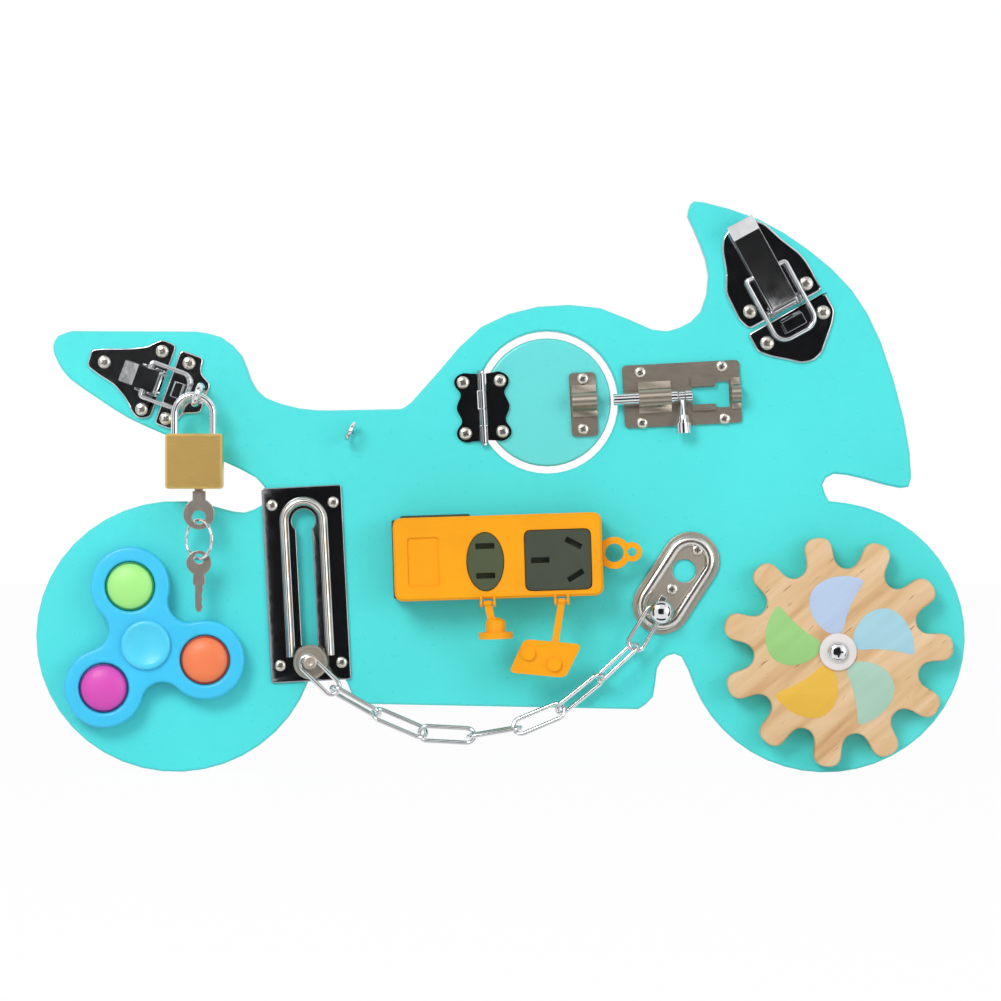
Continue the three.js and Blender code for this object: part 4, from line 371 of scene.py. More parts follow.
def add_bevel(piece, width, segments=2, degrees=32):
    bevel = piece.modifiers.new("edge", "BEVEL")
    bevel.width = width * MM
    bevel.segments = segments
    bevel.limit_method = "ANGLE"
    bevel.angle_limit = math.radians(degrees)
    bevel.harden_normals = True
    return bevel


def weigh_crest(shell, width, degrees, crest):
    """Marks the sharp edges that stand out, and those at one height over the board the most."""
    place, height, reach = crest
    back = place.inverted()
    sharp = math.radians(degrees)
    weight = shell.edges.layers.float.new("bevel_weight_edge")
    for edge in shell.edges:
        if len(edge.link_faces) == 2 and edge.is_convex and edge.calc_face_angle() > sharp:
            rises = [abs((back @ vert.co).z / MM - height) for vert in edge.verts]
            edge[weight] = 1 if max(rises) < SAME_LEVEL else width / reach


def eased(node, width, segments=2, finish=None, degrees=32, crest=None):
    """A node's own shape with its sharp edges rounded off, more widely at a crest.

    The crest is a place, a height over the board and a width, both in millimetres.
    """
    shell = bmesh.new()
    shell.from_mesh(frame["nodes"][node].data)
    bmesh.ops.remove_doubles(shell, verts=shell.verts, dist=CAD_WELD * MM)
    flat = math.radians(FLAT_ANGLE)
    bmesh.ops.dissolve_limit(shell, angle_limit=flat, verts=shell.verts, edges=shell.edges)
    if crest:
        weigh_crest(shell, width, degrees, crest)
    mesh = bpy.data.meshes.new(node)
    shell.to_mesh(mesh)
    shell.free()
    mesh.materials.clear()
    soften(mesh)
    rough = bpy.data.objects.new("rough", mesh)
    bpy.context.scene.collection.objects.link(rough)
    bevel = add_bevel(rough, width, segments, degrees)
    if crest:
        bevel.limit_method = "WEIGHT"
        bevel.width = crest[2] * MM
        bevel.use_clamp_overlap = False
    piece = plain_mesh(rough, f"{node}_eased")
    slot = SLOT_OF[node]
    return settle(piece, node, finish or FINISHES[slot], [node])


def from_points(verts, faces, name):
    """A piece from corners and faces, welded and facing outward."""
    mesh = bpy.data.meshes.new(name)
    mesh.from_pydata([tuple(v) for v in verts], [], faces)
    shell = bmesh.new()
    shell.from_mesh(mesh)
    bmesh.ops.remove_doubles(shell, verts=shell.verts, dist=SEAM_WELD * MM)
    bmesh.ops.recalc_face_normals(shell, faces=shell.faces)
    shell.to_mesh(mesh)
    shell.free()
    soften(mesh)
    piece = bpy.data.objects.new(name, mesh)
    bpy.context.scene.collection.objects.link(piece)
    return piece


def turned(profile, name, place, sides=64):
    """A solid turned about z from (radius, height) pairs in millimetres, closed at both ends."""
    verts, faces = [], []
    for radius, height in profile:
        for step in range(sides):
            angle = 2 * math.pi * step / sides
            spot = Vector((radius * math.cos(angle), radius * math.sin(angle), height))
            verts.append(place @ (spot * MM))
    for ring in range(len(profile) - 1):
        for step in range(sides):
            after = (step + 1) % sides
            low, high = ring * sides, (ring + 1) * sides
            faces.append((low + step, low + after, high + after, high + step))
    return from_points(verts, faces, name)


def arc(centre, radius, start, end, steps):
    """Points on an arc, with its angles in degrees."""
    angles = [math.radians(start + (end - start) * step / steps) for step in range(steps + 1)]
    return [(centre[0] + radius * math.cos(a), centre[1] + radius * math.sin(a)) for a in angles]


def rounded(points, radius, steps=6):
    """A closed outline whose corners are eased with short curves."""
    outline = []
    corners = [Vector(point) for point in points]
    for index, corner in enumerate(corners):
        back = corners[index - 1] - corner
        ahead = corners[(index + 1) % len(corners)] - corner
        start = corner + back.normalized() * min(radius, back.length / 2)
        end = corner + ahead.normalized() * min(radius, ahead.length / 2)
        for step in range(steps + 1):
            share = step / steps
            outline.append(tuple(start.lerp(corner, share).lerp(corner.lerp(end, share), share)))
    return outline


def slab(outline, holes, near, far, edge, name, place, segments=3):
    """A flat piece cut from an outline in millimetres, with holes and rounded rims."""
    curve = bpy.data.curves.new(name, "CURVE")
    curve.dimensions = "2D"
    curve.fill_mode = "BOTH"
    curve.extrude = ((far - near) / 2 - edge) * MM
    curve.bevel_depth = edge * MM
    curve.offset = -edge * MM
    curve.bevel_resolution = segments
    for loop in (outline, *holes):
        spline = curve.splines.new("POLY")
        spline.points.add(len(loop) - 1)
        for point, (x, y) in zip(spline.points, loop):
            point.co = (x * MM, y * MM, 0, 1)
        spline.use_cyclic_u = True
    rough = bpy.data.objects.new("rough", curve)
    bpy.context.scene.collection.objects.link(rough)
    middle = Matrix.Translation((0, 0, (near + far) / 2 * MM))
    piece = plain_mesh(rough, name, place @ middle)
    shell = bmesh.new()
    shell.from_mesh(piece.data)
    bmesh.ops.remove_doubles(shell, verts=shell.verts, dist=SLAB_WELD * MM)
    bmesh.ops.recalc_face_normals(shell, faces=shell.faces)
    shell.to_mesh(piece.data)
    shell.free()
    soften(piece.data, degrees=30)
    return piece


def bead(path, half, low, top, name, place, closed=False, steps=12):
    """A half-round raised band along a flat path in millimetres."""
    verts, faces = [], []
    count = len(path)
    for index, point in enumerate(path):
        before = path[index - 1] if closed or index else point
        after = path[(index + 1) % count] if closed or index < count - 1 else point
        along = (Vector(after) - Vector(before)).normalized()
        for step in range(steps + 1):
            angle = math.pi * step / steps
            out = half * math.cos(angle)
            rise = (top - low) * math.sin(angle)
            spot = Vector((point[0] + along.y * out, point[1] - along.x * out, low + rise))
            verts.append(place @ (spot * MM))
    ring = steps + 1
    for index in range(count if closed else count - 1):
        here, there = index * ring, (index + 1) % count * ring
        for step in range(ring):
            after = (step + 1) % ring
            faces.append((here + step, here + after, there + after, there + step))
    if not closed:
        faces += [tuple(range(ring)), tuple(range((count - 1) * ring, count * ring))]
    return from_points(verts, faces, name)


def wire(points, radius, name, place, closed=False, resolution=4):
    """A round wire along points in millimetres."""
    curve = bpy.data.curves.new(name, "CURVE")
    curve.dimensions = "3D"
    curve.bevel_depth = radius * MM
    curve.bevel_resolution = resolution
    curve.use_fill_caps = True
    spline = curve.splines.new("POLY")
    spline.points.add(len(points) - 1)
    for point, (x, y, z) in zip(spline.points, points):
        point.co = (x * MM, y * MM, z * MM, 1)
    spline.use_cyclic_u = closed
    rough = bpy.data.objects.new("rough", curve)
    bpy.context.scene.collection.objects.link(rough)
    piece = plain_mesh(rough, name, place)
    soften(piece.data, degrees=60)
    return piece


def joined(pieces, name):
    """Several pieces made one."""
    shell = bmesh.new()
    for piece in pieces:
        shell.from_mesh(piece.data)
        bpy.data.objects.remove(piece)
    mesh = bpy.data.meshes.new(name)
    shell.to_mesh(mesh)
    shell.free()
    whole = bpy.data.objects.new(name, mesh)
    bpy.context.scene.collection.objects.link(whole)
    return whole


# Geometry node trees for what repeats
def new_tree(name, inputs):
    """An empty tree with its inputs, and its two end nodes."""
    tree = bpy.data.node_groups.new(name, "GeometryNodeTree")
    for label, kind in inputs:
        tree.interface.new_socket(label, in_out="INPUT", socket_type=kind)
    tree.interface.new_socket("Geometry", in_out="OUTPUT", socket_type="NodeSocketGeometry")
    return tree, tree.nodes.new("NodeGroupInput"), tree.nodes.new("NodeGroupOutput")


def finish_tree(tree, geometry, source, sink):
    """Realizes the copies and sets their material."""
    real = tree.nodes.new("GeometryNodeRealizeInstances")
    coat = tree.nodes.new("GeometryNodeSetMaterial")
    tree.links.new(geometry, real.inputs[0])
    tree.links.new(real.outputs[0], coat.inputs["Geometry"])
    tree.links.new(source.outputs["Material"], coat.inputs["Material"])
    tree.links.new(coat.outputs[0], sink.inputs[0])


def run_tree(tree, values, mesh, name, place=None):
    """A plain mesh made by a tree, with its named inputs set."""
    rough = bpy.data.objects.new("rough", mesh)
    bpy.context.scene.collection.objects.link(rough)
    modifier = rough.modifiers.new("tree", "NODES")
    modifier.node_group = tree
    for item in tree.interface.items_tree:
        if item.in_out == "INPUT" and item.name in values:
            modifier[item.identifier] = values[item.name]
    return plain_mesh(rough, name, place)


def screw_tree():
    """Screw heads on points, each turned at random about its own axis."""
    tree, source, sink = new_tree("screw_heads", [
        ("Points", "NodeSocketGeometry"), ("Head", "NodeSocketObject"),
        ("Radius", "NodeSocketFloat"), ("Seed", "NodeSocketInt"),
        ("Material", "NodeSocketMaterial"),
    ])
    head = tree.nodes.new("GeometryNodeObjectInfo")
    turn = tree.nodes.new("FunctionNodeRandomValue")
    place = tree.nodes.new("GeometryNodeInstanceOnPoints")
    turn.data_type = "FLOAT_VECTOR"
    turn.inputs[0].default_value = (0, 0, 0)
    turn.inputs[1].default_value = (0, math.pi / 2, 0)
    tree.links.new(source.outputs["Seed"], turn.inputs["Seed"])
    tree.links.new(source.outputs["Head"], head.inputs["Object"])
    tree.links.new(source.outputs["Points"], place.inputs["Points"])
    tree.links.new(head.outputs["Geometry"], place.inputs["Instance"])
    tree.links.new(turn.outputs[0], place.inputs["Rotation"])
    tree.links.new(source.outputs["Radius"], place.inputs["Scale"])
    finish_tree(tree, place.outputs["Instances"], source, sink)
    return tree


LINK_BEND_STEPS = 12
LINK_WIRE_SIDES = 14


def link_tree():
    """A welded chain link: a wire along a long loop with round ends."""
    tree, source, sink = new_tree("chain_link", [
        ("Length", "NodeSocketFloat"), ("Width", "NodeSocketFloat"), ("Wire", "NodeSocketFloat"),
        ("Bend", "NodeSocketFloat"), ("Material", "NodeSocketMaterial"),
    ])
    loop = tree.nodes.new("GeometryNodeCurvePrimitiveQuadrilateral")
    bend = tree.nodes.new("GeometryNodeFilletCurve")
    section = tree.nodes.new("GeometryNodeCurvePrimitiveCircle")
    sweep = tree.nodes.new("GeometryNodeCurveToMesh")
    smooth = tree.nodes.new("GeometryNodeSetShadeSmooth")
    bend.mode = "POLY"
    bend.inputs["Count"].default_value = LINK_BEND_STEPS
    section.inputs["Resolution"].default_value = LINK_WIRE_SIDES
    tree.links.new(source.outputs["Length"], loop.inputs["Width"])
    tree.links.new(source.outputs["Width"], loop.inputs["Height"])
    tree.links.new(loop.outputs[0], bend.inputs["Curve"])
    tree.links.new(source.outputs["Bend"], bend.inputs["Radius"])
    tree.links.new(source.outputs["Wire"], section.inputs["Radius"])
    tree.links.new(bend.outputs[0], sweep.inputs["Curve"])
    tree.links.new(section.outputs[0], sweep.inputs["Profile Curve"])
    tree.links.new(sweep.outputs[0], smooth.inputs["Geometry"])
    finish_tree(tree, smooth.outputs[0], source, sink)
    return tree


def screw_head():
    """A domed cross-slotted head of radius one, standing on y = 0 and facing -y."""
    profile = [(0, 0), (1, 0), (1, 0.1), (0.95, 0.2), (0.8, 0.3), (0.55, 0.37), (0.28, 0.4),
               (0, 0.41)]
    facing = Matrix.Rotation(math.radians(90), 4, "X") @ Matrix.Scale(1 / MM, 4)
    head = turned(profile, "head", facing, sides=24)
    half, reach, floor, top = 0.1, 0.56, 0.16, 0.6
    faces = [(0, 1, 3, 2), (4, 6, 7, 5), (0, 4, 5, 1), (2, 3, 7, 6), (0, 2, 6, 4), (1, 5, 7, 3)]
    arms = []
    for along, across in ((reach, half), (half, reach)):
        sides = [(x, z) for z in (-across, across) for x in (-along, along)]
        corners = [(x, -y, z) for y in (floor, top) for x, z in sides]
        arms.append(from_points(corners, faces, "arm"))
    for arm in arms:
        cut = head.modifiers.new("cut", "BOOLEAN")
        cut.operation = "DIFFERENCE"
        cut.object = arm
    whole = plain_mesh(head, "screw_head_shape")
    for arm in arms:
        bpy.data.objects.remove(arm)
    soften(whole.data, degrees=30)
    return whole


# Places of the fittings: centre in photograph pixels, and turn in degrees
SHEET = on_board(ORIGIN_PX)
HINGE = on_board((485, 407), 3)
BOLT = on_board((650, 397), 3)
LATCH = on_board((775, 290), 28.6)
HASP = on_board((163, 385), 70)
TRACK = on_board((307, 585), 3)
ANCHOR = on_board((676, 583), -33)
GEAR = on_board((836, 651))
SPINNER = on_board((148, 644))
EYE = on_board((351, 431.5), 62)


def sheet_mm(px):
    """A pixel of the photograph in millimetres on the board's front."""
    return ((px[0] - ORIGIN_PX[0]) * PHOTO_PIXEL / MM, (ORIGIN_PX[1] - px[1]) * PHOTO_PIXEL / MM)


# Small screws: their body, their fitting's place, where they are on it and their head's radius,
# in millimetres
SCREWS = [
    ("board", HINGE, [(-8.9, 11), (-8.9, -11)], 2.7),
    ("door", HINGE, [(7, 11), (7, -11)], 2.7),
    ("board", BOLT, [(-3.7, 10.7), (31.5, 11.5), (-4, -11), (31.5, -11)], 2.5),
    ("door", BOLT, [(-28.5, 9.3), (-29.5, -12.3)], 2.5),
    ("board", LATCH, [(-14, -3), (13, -4), (-14, -18.4), (13.5, -18.4)], 3),
    ("board", HASP, [(0.6, 27), (-13, 5), (13.5, 5.2), (-13.2, -6.2), (12.6, -7.4)], 2.7),
    ("board", TRACK, [(-13.2, 35), (13.2, 35), (-13.2, -34), (13.2, -34)], 2.4),
    ("board", ANCHOR, [(0, 17), (0, -3.2)], 2.6),
]


def fit_screws():
    """The screws of each body and size as one piece. The head's shape is returned for the axle."""
    tree = screw_tree()
    head = screw_head()
    groups = {}
    for body, place, spots, radius in SCREWS:
        points = [place @ (Vector((x, y, PLATE_TOP)) * MM) for x, y in spots]
        groups.setdefault((body, radius), []).extend(points)
    for seed, (body, radius) in enumerate(sorted(groups)):
        points = groups[body, radius]
        mesh = bpy.data.meshes.new("points")
        mesh.from_pydata([tuple(p) for p in points], [], [])
        values = {"Head": head, "Radius": radius * MM, "Seed": seed, "Material": SCREW_STEEL}
        piece = run_tree(tree, values, mesh, f"screws_{body}_{round(radius * 10)}")
        settle(piece, body)
    return head


def fit_chain():
    """Nine links from the slide button to the anchor, each turned about its own length."""
    joints = [sheet_mm(px) for px in (
        (308, 662), (335.4, 688.8), (377.2, 712.4), (423, 732), (471.4, 734.6),
        (517, 726.8), (560.3, 708.5), (599.5, 677), (633.5, 645.7), (655, 610),
    )]
    rolls = (0, 64, 130, 22, 92, 160, 50, 114, 0)
    wire_radius, bend, overlap, first_reach = 0.97, 3.45, 1.5, 1.2
    tree = link_tree()
    for number, roll in enumerate(rolls):
        start, end = Vector(joints[number]), Vector(joints[number + 1])
        along = (end - start).normalized()
        if number == 0:
            start -= along * first_reach
        length = (end - start).length + 2 * overlap
        middle = (start + end) / 2
        place = SHEET @ Matrix.Translation(Vector((*middle, CHAIN_HEIGHT)) * MM)
        place = place @ Matrix.Rotation(math.atan2(along.y, along.x), 4, "Z")
        place = place @ Matrix.Rotation(math.radians(roll), 4, "X")
        node = f"chain_link_{number + 1}"
        values = {
            "Length": length * MM, "Width": 2 * bend * MM, "Wire": wire_radius * MM,
            "Bend": bend * MM, "Material": FINISHES["chrome"],
        }
        blank = bpy.data.meshes.new("blank")
        link = run_tree(tree, values, blank, f"link_{number + 1}_welded", place)
        settle(link, node, stands_for=[node])


def fit_bail(node, name, place, half, top, foot, corner, inner):
    """A latch's wire: two bent-in ends at the top, and a loop round the hook at the foot."""
    elbow, elbow_steps, corner_steps, wire_radius = 1.4, 6, 12, 0.95
    path = [(-inner, top), *arc((-half + elbow, top - elbow), elbow, 90, 180, elbow_steps)]
    path += arc((-half + corner, foot + corner), corner, 180, 270, corner_steps)
    path += arc((half - corner, foot + corner), corner, 270, 360, corner_steps)
    path += [*arc((half - elbow, top - elbow), elbow, 0, 90, elbow_steps), (inner, top)]
    bail = wire([(x, y, BAIL_HEIGHT) for x, y in path], wire_radius, name, place)
    settle(bail, node, FINISHES["chrome"], [node])


def wire_ring(radius, steps, wire_radius, name, place):
    """A closed ring of round wire about the place's z."""
    circle = arc((0, 0), radius, 0, 360 - 360 / (steps + 1), steps)
    return wire([(x, y, 0) for x, y in circle], wire_radius, name, place, closed=True)


def fit_padlock():
    """The shackle and the ring between the two keys."""
    crown = sheet_mm((196.25, 392.4))
    lock = sheet_mm((196.95, 461.6))
    radius, span, lock_half = 1.6, 16.4, 11.75
    long_leg, short_leg, bow_steps = 14, 2.6, 40
    top = lock[1] + lock_half
    crown_y = crown[1] - radius - span / 2
    bow = arc((crown[0], crown_y), span / 2, 180, 0, bow_steps)
    path = [(crown[0] - span / 2, top - long_leg), *bow, (crown[0] + span / 2, top - short_leg)]
    points = [(x, y, PADLOCK_HEIGHT) for x, y in path]
    shackle = wire(points, radius, "shackle_bow", SHEET, resolution=7)
    settle(shackle, "padlock_shackle", FINISHES["chrome"], ["padlock_shackle"])
    ring_top = sheet_mm((201.3, 519.8))
    ring_radius, ring_turn = 8.3, -45
    centre = Vector((ring_top[0], ring_top[1] - ring_radius, PADLOCK_HEIGHT))
    hung = SHEET @ Matrix.Translation(centre * MM)
    hung = hung @ Matrix.Rotation(math.radians(ring_turn), 4, "Y")
    ring = wire_ring(ring_radius, 71, 0.75, "split_ring", hung)
    settle(ring, "key_ring", FINISHES["chrome"], ["key_ring"])


def fit_eye():
    """The screw eye: a ring of wire on a threaded shank."""
    loop_radius, loop_height, wire_radius, core = 3.7, 6.4, 1, 0.8
    tip, shoulder, pitch, turns = -6.7, 2.5, 0.9, 10
    upright = EYE @ Matrix.Translation((0, 0, loop_height * MM))
    upright = upright @ Matrix.Rotation(math.radians(90), 4, "X")
    loop = wire_ring(loop_radius, 47, wire_radius, "eye_loop", upright)
    thread = [(0, tip)]
    for turn in range(turns):
        root = tip + 0.1 + turn * pitch
        thread += [(core, root), (wire_radius, root + pitch / 2)]
    shank = turned([*thread, (core, shoulder), (0, shoulder + 0.1)], "eye_shank", EYE, sides=24)
    eye = joined([loop, shank], "screw_eye_turned")
    settle(eye, "screw_eye", FINISHES["chrome"], ["screw_eye"])


def fit_wires():
    """The bails of both latches, the padlock's wires and the screw eye."""
    fit_bail("latch_bail", "latch_wire", LATCH, half=9.5, top=9, foot=-21.4, corner=5.5, inner=5.1)
    fit_bail("hasp_bail", "hasp_wire", HASP, half=7.8, top=7.4, foot=-11, corner=4, inner=3.6)
    fit_padlock()
    fit_eye()


GEAR_TOP = 10.5


def fit_wheel():
    """The toothed wooden wheel."""
    teeth, tip, root, width, first = 11, 49.5, 36, 11.6, 2.5
    bottom, edge, hole = 1.5, 0.9, 2.9
    half = width / 2
    root_out = math.sqrt(root ** 2 - half ** 2)
    corners = []
    for tooth in range(teeth):
        angle = math.radians(first + 360 * tooth / teeth)
        out = Vector((math.cos(angle), math.sin(angle)))
        across = Vector((-out.y, out.x))
        for reach, side in ((root_out, -half), (tip, -half), (tip, half), (root_out, half)):
            corners.append(out * reach + across * side)
    outline = rounded(corners, half, steps=9)
    holes = [arc((0, 0), hole, 0, 350, 35)]
    gear = slab(outline, holes, bottom, GEAR_TOP, edge, "gear_cut", GEAR)
    settle(gear, "gear_wheel", FINISHES["natural_wood"], ["gear_wheel"])


def fit_petals():
    """Five printed petals, from one outline of (radius, angle) pairs."""
    petal = [(8.3, 48), (15, 58), (21.6, 55.5), (26.8, 48), (29.9, 40), (31.9, 29), (32.9, 15),
             (33.2, 0), (26.2, 3.3), (19.6, 6.3), (13.3, 8), (8.2, 6)]
    paints = {"lavender": "b9cdea", "sky": "a5d3e2", "mint": "abd0be", "yellow": "ecbb3f",
              "green": "9bd07f"}
    first, apart, corner, thickness, edge = 69, 72, 3.2, 0.12, 0.03
    for number, (paint, code) in enumerate(paints.items()):
        name = f"petal_{paint}"
        start = first - apart * number
        spots = []
        for radius, angle in petal:
            angle = math.radians(start + angle)
            spots.append((radius * math.cos(angle), radius * math.sin(angle)))
        shape = rounded(spots, corner, steps=4)
        leaf = slab(shape, [], GEAR_TOP, GEAR_TOP + thickness, edge, name, GEAR, segments=1)
        settle(leaf, "gear", petal_paint(f"{name}_paint", code))


def fit_axle(head):
    """The wheel's two washers and its screw, whose head is like those of the small screws."""
    bore, radius, edge, thickness = 3, 8, 0.3, 0.9
    for node, low in (("gear_washer", GEAR_TOP + edge), ("gear_spacer", edge)):
        high = low + thickness
        profile = [(bore, low), (radius - edge, low), (radius, low + edge), (radius, high - edge),
                   (radius - edge, high), (bore, high), (bore, low)]
        washer = turned(profile, f"{node}_turned", GEAR)
        settle(washer, node, FINISHES["white_plastic"], [node])
    shank = turned([(0, -6.7), (2.5, -6.7), (2.5, 12.3), (0, 12.3)], "shank", GEAR, sides=32)
    collar = turned([(0, 12), (4.5, 12), (4.5, 12.5), (4.1, 12.9), (0, 12.9)], "collar", GEAR)
    crown = head.copy()
    crown.data = head.data.copy()
    bpy.context.scene.collection.objects.link(crown)
    crown_radius, crown_height = 4 * MM, 12.7 * MM
    place = GEAR @ Matrix.Translation((0, 0, crown_height))
    place = place @ Matrix.Rotation(math.radians(-90), 4, "X") @ Matrix.Scale(crown_radius, 4)
    crown.data.transform(place)
    axle = joined([shank, collar, crown], "axle_screw_turned")
    soften(axle.data, degrees=32)
    settle(axle, "gear_axle_screw", FINISHES["chrome"], ["gear_axle_screw"])


SPINNER_LOBES = {"green": 105.5, "orange": -14.5, "magenta": -134.5}
LOBE_DISTANCE = 26
DOME_RADIUS = 10.3


def at(angle, radius):
    """A spot by its angle in radians and its distance from the middle."""
    return Vector((math.cos(angle) * radius, math.sin(angle) * radius))


def bearing(start, end):
    """The direction from one spot to another, in degrees."""
    return math.degrees(math.atan2(end.y - start.y, end.x - start.x))


def dome_centres():
    return [at(math.radians(lobe), LOBE_DISTANCE) for lobe in SPINNER_LOBES.values()]


def fit_spinner():
    """The spinner's body of three round lobes with hollow waists between them, and its hub cap."""
    distance, lobe_radius, waist, dome_gap, hub_hole = LOBE_DISTANCE, 17, 9, 0.35, 6
    bottom, top, edge = 2.5, 10.2, 1.4
    reach = math.pi / 3
    waist_out = distance * math.cos(reach)
    waist_out += math.sqrt((lobe_radius + waist) ** 2 - (distance * math.sin(reach)) ** 2)
    outline = []
    for angle in sorted(math.radians(lobe) for lobe in SPINNER_LOBES.values()):
        lobe = at(angle, distance)
        before, after = at(angle - reach, waist_out), at(angle + reach, waist_out)
        following = at(angle + 2 * reach, distance)
        start, end = bearing(lobe, before), bearing(lobe, after)
        outline += arc(lobe, lobe_radius, start, end if end > start else end + 360, 40)
        start, end = bearing(after, lobe), bearing(after, following)
        outline += arc(after, waist, start, end if end < start else end - 360, 14)[1:-1]
    holes = [arc((0, 0), hub_hole, 0, 350, 35)]
    holes += [arc(centre, DOME_RADIUS + dome_gap, 0, 354, 59) for centre in dome_centres()]
    body = slab(outline, holes, bottom, top, edge, "spinner_moulded", SPINNER, segments=4)
    settle(body, "spinner_body", FINISHES["sky_body"], ["spinner_body"])
    profile = [(0, 10.5), (9.8, 10.5), (10.6, 11), (10.6, 11.7), (10.3, 12.2), (9.7, 12.5),
               (8.6, 12.6), (8.2, 12.5), (7.9, 12.3), (0, 12.3)]
    cap = turned(profile, "hub_cap_turned", SPINNER)
    settle(cap, "spinner_hub_cap", FINISHES["sky_plastic"], ["spinner_hub_cap"])


def fit_domes():
    """Three push domes, each with a darker rim that is painted shade in the recess round it."""
    profile = [(0, 10.6), (6.6, 10.2), (8.7, 9), (8.7, 7), (DOME_RADIUS, 7), (DOME_RADIUS, 9.2),
               (9.75, 9.4), (9.6, 9.9), (9.35, 10.35), (8.6, 10.95), (7.4, 11.5), (5.6, 12.05),
               (3.6, 12.4), (1.6, 12.57), (0, 12.6)]
    # Faces outside this radius take a darker colour of the dome's own: painted shade in the recess
    # between dome and body.
    recess_shade_radius = 9.62
    recess_shade_tints = {"green": "1f9a4a", "orange": "b3261c", "magenta": "5f1f7f"}
    for (name, rim), centre in zip(recess_shade_tints.items(), dome_centres()):
        place = SPINNER @ Matrix.Translation((centre.x * MM, centre.y * MM, 0))
        dome = turned(profile, f"push_dome_{name}", place)
        slot = f"{name}_silicone"
        settle(dome, f"dome_{name}", FINISHES[slot], [f"dome_{name}"])
        dome.data.materials.append(moulded(f"{name}_rim", rim, roughness=0.45, coat=0))
        back = place.inverted()
        for face in dome.data.polygons:
            if (back @ face.center).xy.length / MM > recess_shade_radius:
                face.material_index = 1


TRACK_FOOT = -33


def fit_button():
    """The slide button: its foot behind the plate, its washer and the rivet in the chain."""
    place = TRACK @ Matrix.Translation((0, TRACK_FOOT * MM, 0))
    profile = [(0, -2.6), (4.6, -2.6), (4.6, -1.2), (2.9, -1.2), (2.9, 4.35), (7, 4.35), (7.4, 4.7),
               (7.4, 5.7), (7, 6.15), (6, 6.15), (5.8, 5.95), (5.4, 5.95), (5.2, 6.15), (0.7, 6.15),
               (0.7, 9.8), (2.6, 9.8), (3.1, 10.1), (3.1, 10.4), (2.5, 10.8), (1.4, 10.9),
               (1.1, 10.75), (0, 10.75)]
    button = turned(profile, "slide_button_turned", place)
    settle(button, "slide_button", FINISHES["steel"], ["slide_button"])


def highlight_above(piece, finish, place, above):
    """Gives a second material to the faces higher than a height in millimetres over the board, as a
    painted highlight on raised parts.
    """
    piece.data.materials.append(finish)
    back = place.inverted()
    for face in piece.data.polygons:
        if (back @ face.center).z / MM > above:
            face.material_index = 1


def rim_highlight(piece, place):
    """Gives the rounded rim of a plate bright chrome as a painted highlight, and its flat faces a
    plain normal.
    """
    rim_low, upright, level, flat = 0.5, 0.15, 0.97, 0.999
    mesh = piece.data
    mesh.materials.append(FINISHES["chrome"])
    back = place.inverted()
    normals = [Vector(corner.vector) for corner in mesh.corner_normals]
    for face in mesh.polygons:
        tilt = (back.to_3x3() @ face.normal).z
        height = (back @ face.center).z / MM
        # Tilted faces of the rim take the brighter chrome: a painted highlight on the dark plate.
        if upright < tilt < level and rim_low < height < PLATE_TOP + SAME_LEVEL:
            face.material_index = 1
        if tilt > flat:
            for corner in face.loop_indices:
                normals[corner] = face.normal.copy()
    mesh.normals_split_custom_set(normals)


def fit_track():
    """The plate with its keyhole slot and the raised band round it."""
    crown, slot_half, hole, corner, edge = 27.7, 3.4, 5, 1.6, 0.4
    flare = math.degrees(math.acos(slot_half / hole))
    keyhole = arc((0, TRACK_FOOT), slot_half, 180, 360, 20)
    keyhole += arc((0, crown), hole, -flare, 180 + flare, 40)
    corners = rounded([(-17.5, -41.5), (17, -41.5), (17, 42.5), (-17.5, 42.5)], corner)
    sheet = slab(corners, [keyhole], PLATE_BOTTOM, PLATE_TOP, edge, "track_plate_cut", TRACK)
    settle(sheet, "track_plate", FINISHES["black_chrome"], ["track_plate"])
    band_radius, band_half, band_end, band_top = 8.4, 1.9, -30.6, 4
    path = [(-band_radius, band_end), *arc((0, crown), band_radius, 180, 0, 40)]
    path.append((band_radius, band_end))
    # The band takes a brighter metal than the plate: a painted highlight on the raised rail.
    band = bead(path, band_half, PLATE_TOP - SAME_LEVEL, band_top, "track_band", TRACK)
    settle(band, "track_plate", BAND_HIGHLIGHT)


def fit_anchor():
    """The anchor's plate, a half-round band over its raised rim and a head on its bridge."""
    rim_top, rim_reach, rim_low = 2.8, 1.25, 1.55
    plate = eased("anchor_plate", 0.4, 5, degrees=40, crest=(ANCHOR, rim_top, rim_reach))
    # The raised rim takes a brighter metal than the plate: a painted highlight.
    highlight_above(plate, BAND_HIGHLIGHT, ANCHOR, above=rim_low)
    middle, band_radius, band_half, band_top = 11.5, 8.35, 2.35, 2.98
    oval = arc((0, middle), band_radius, 0, 180, 32)
    oval += arc((0, -middle), band_radius, 180, 360, 32)
    # The band over the rim takes the same painted highlight.
    band = bead(oval, band_half, PLATE_TOP, band_top, "anchor_band", ANCHOR, closed=True)
    settle(band, "anchor_plate", BAND_HIGHLIGHT)
    head_place = ANCHOR @ Matrix.Translation((1 * MM, -13.8 * MM, 0))
    profile = [(0, 9.65), (4.4, 9.65), (4.85, 9.9), (4.95, 10.3), (4.6, 11), (3.7, 11.8),
               (2.4, 12.35), (1.1, 12.6), (0, 12.65)]
    cap = turned(profile, "anchor_cap", head_place)
    settle(cap, "anchor_plate", FINISHES["chrome"])


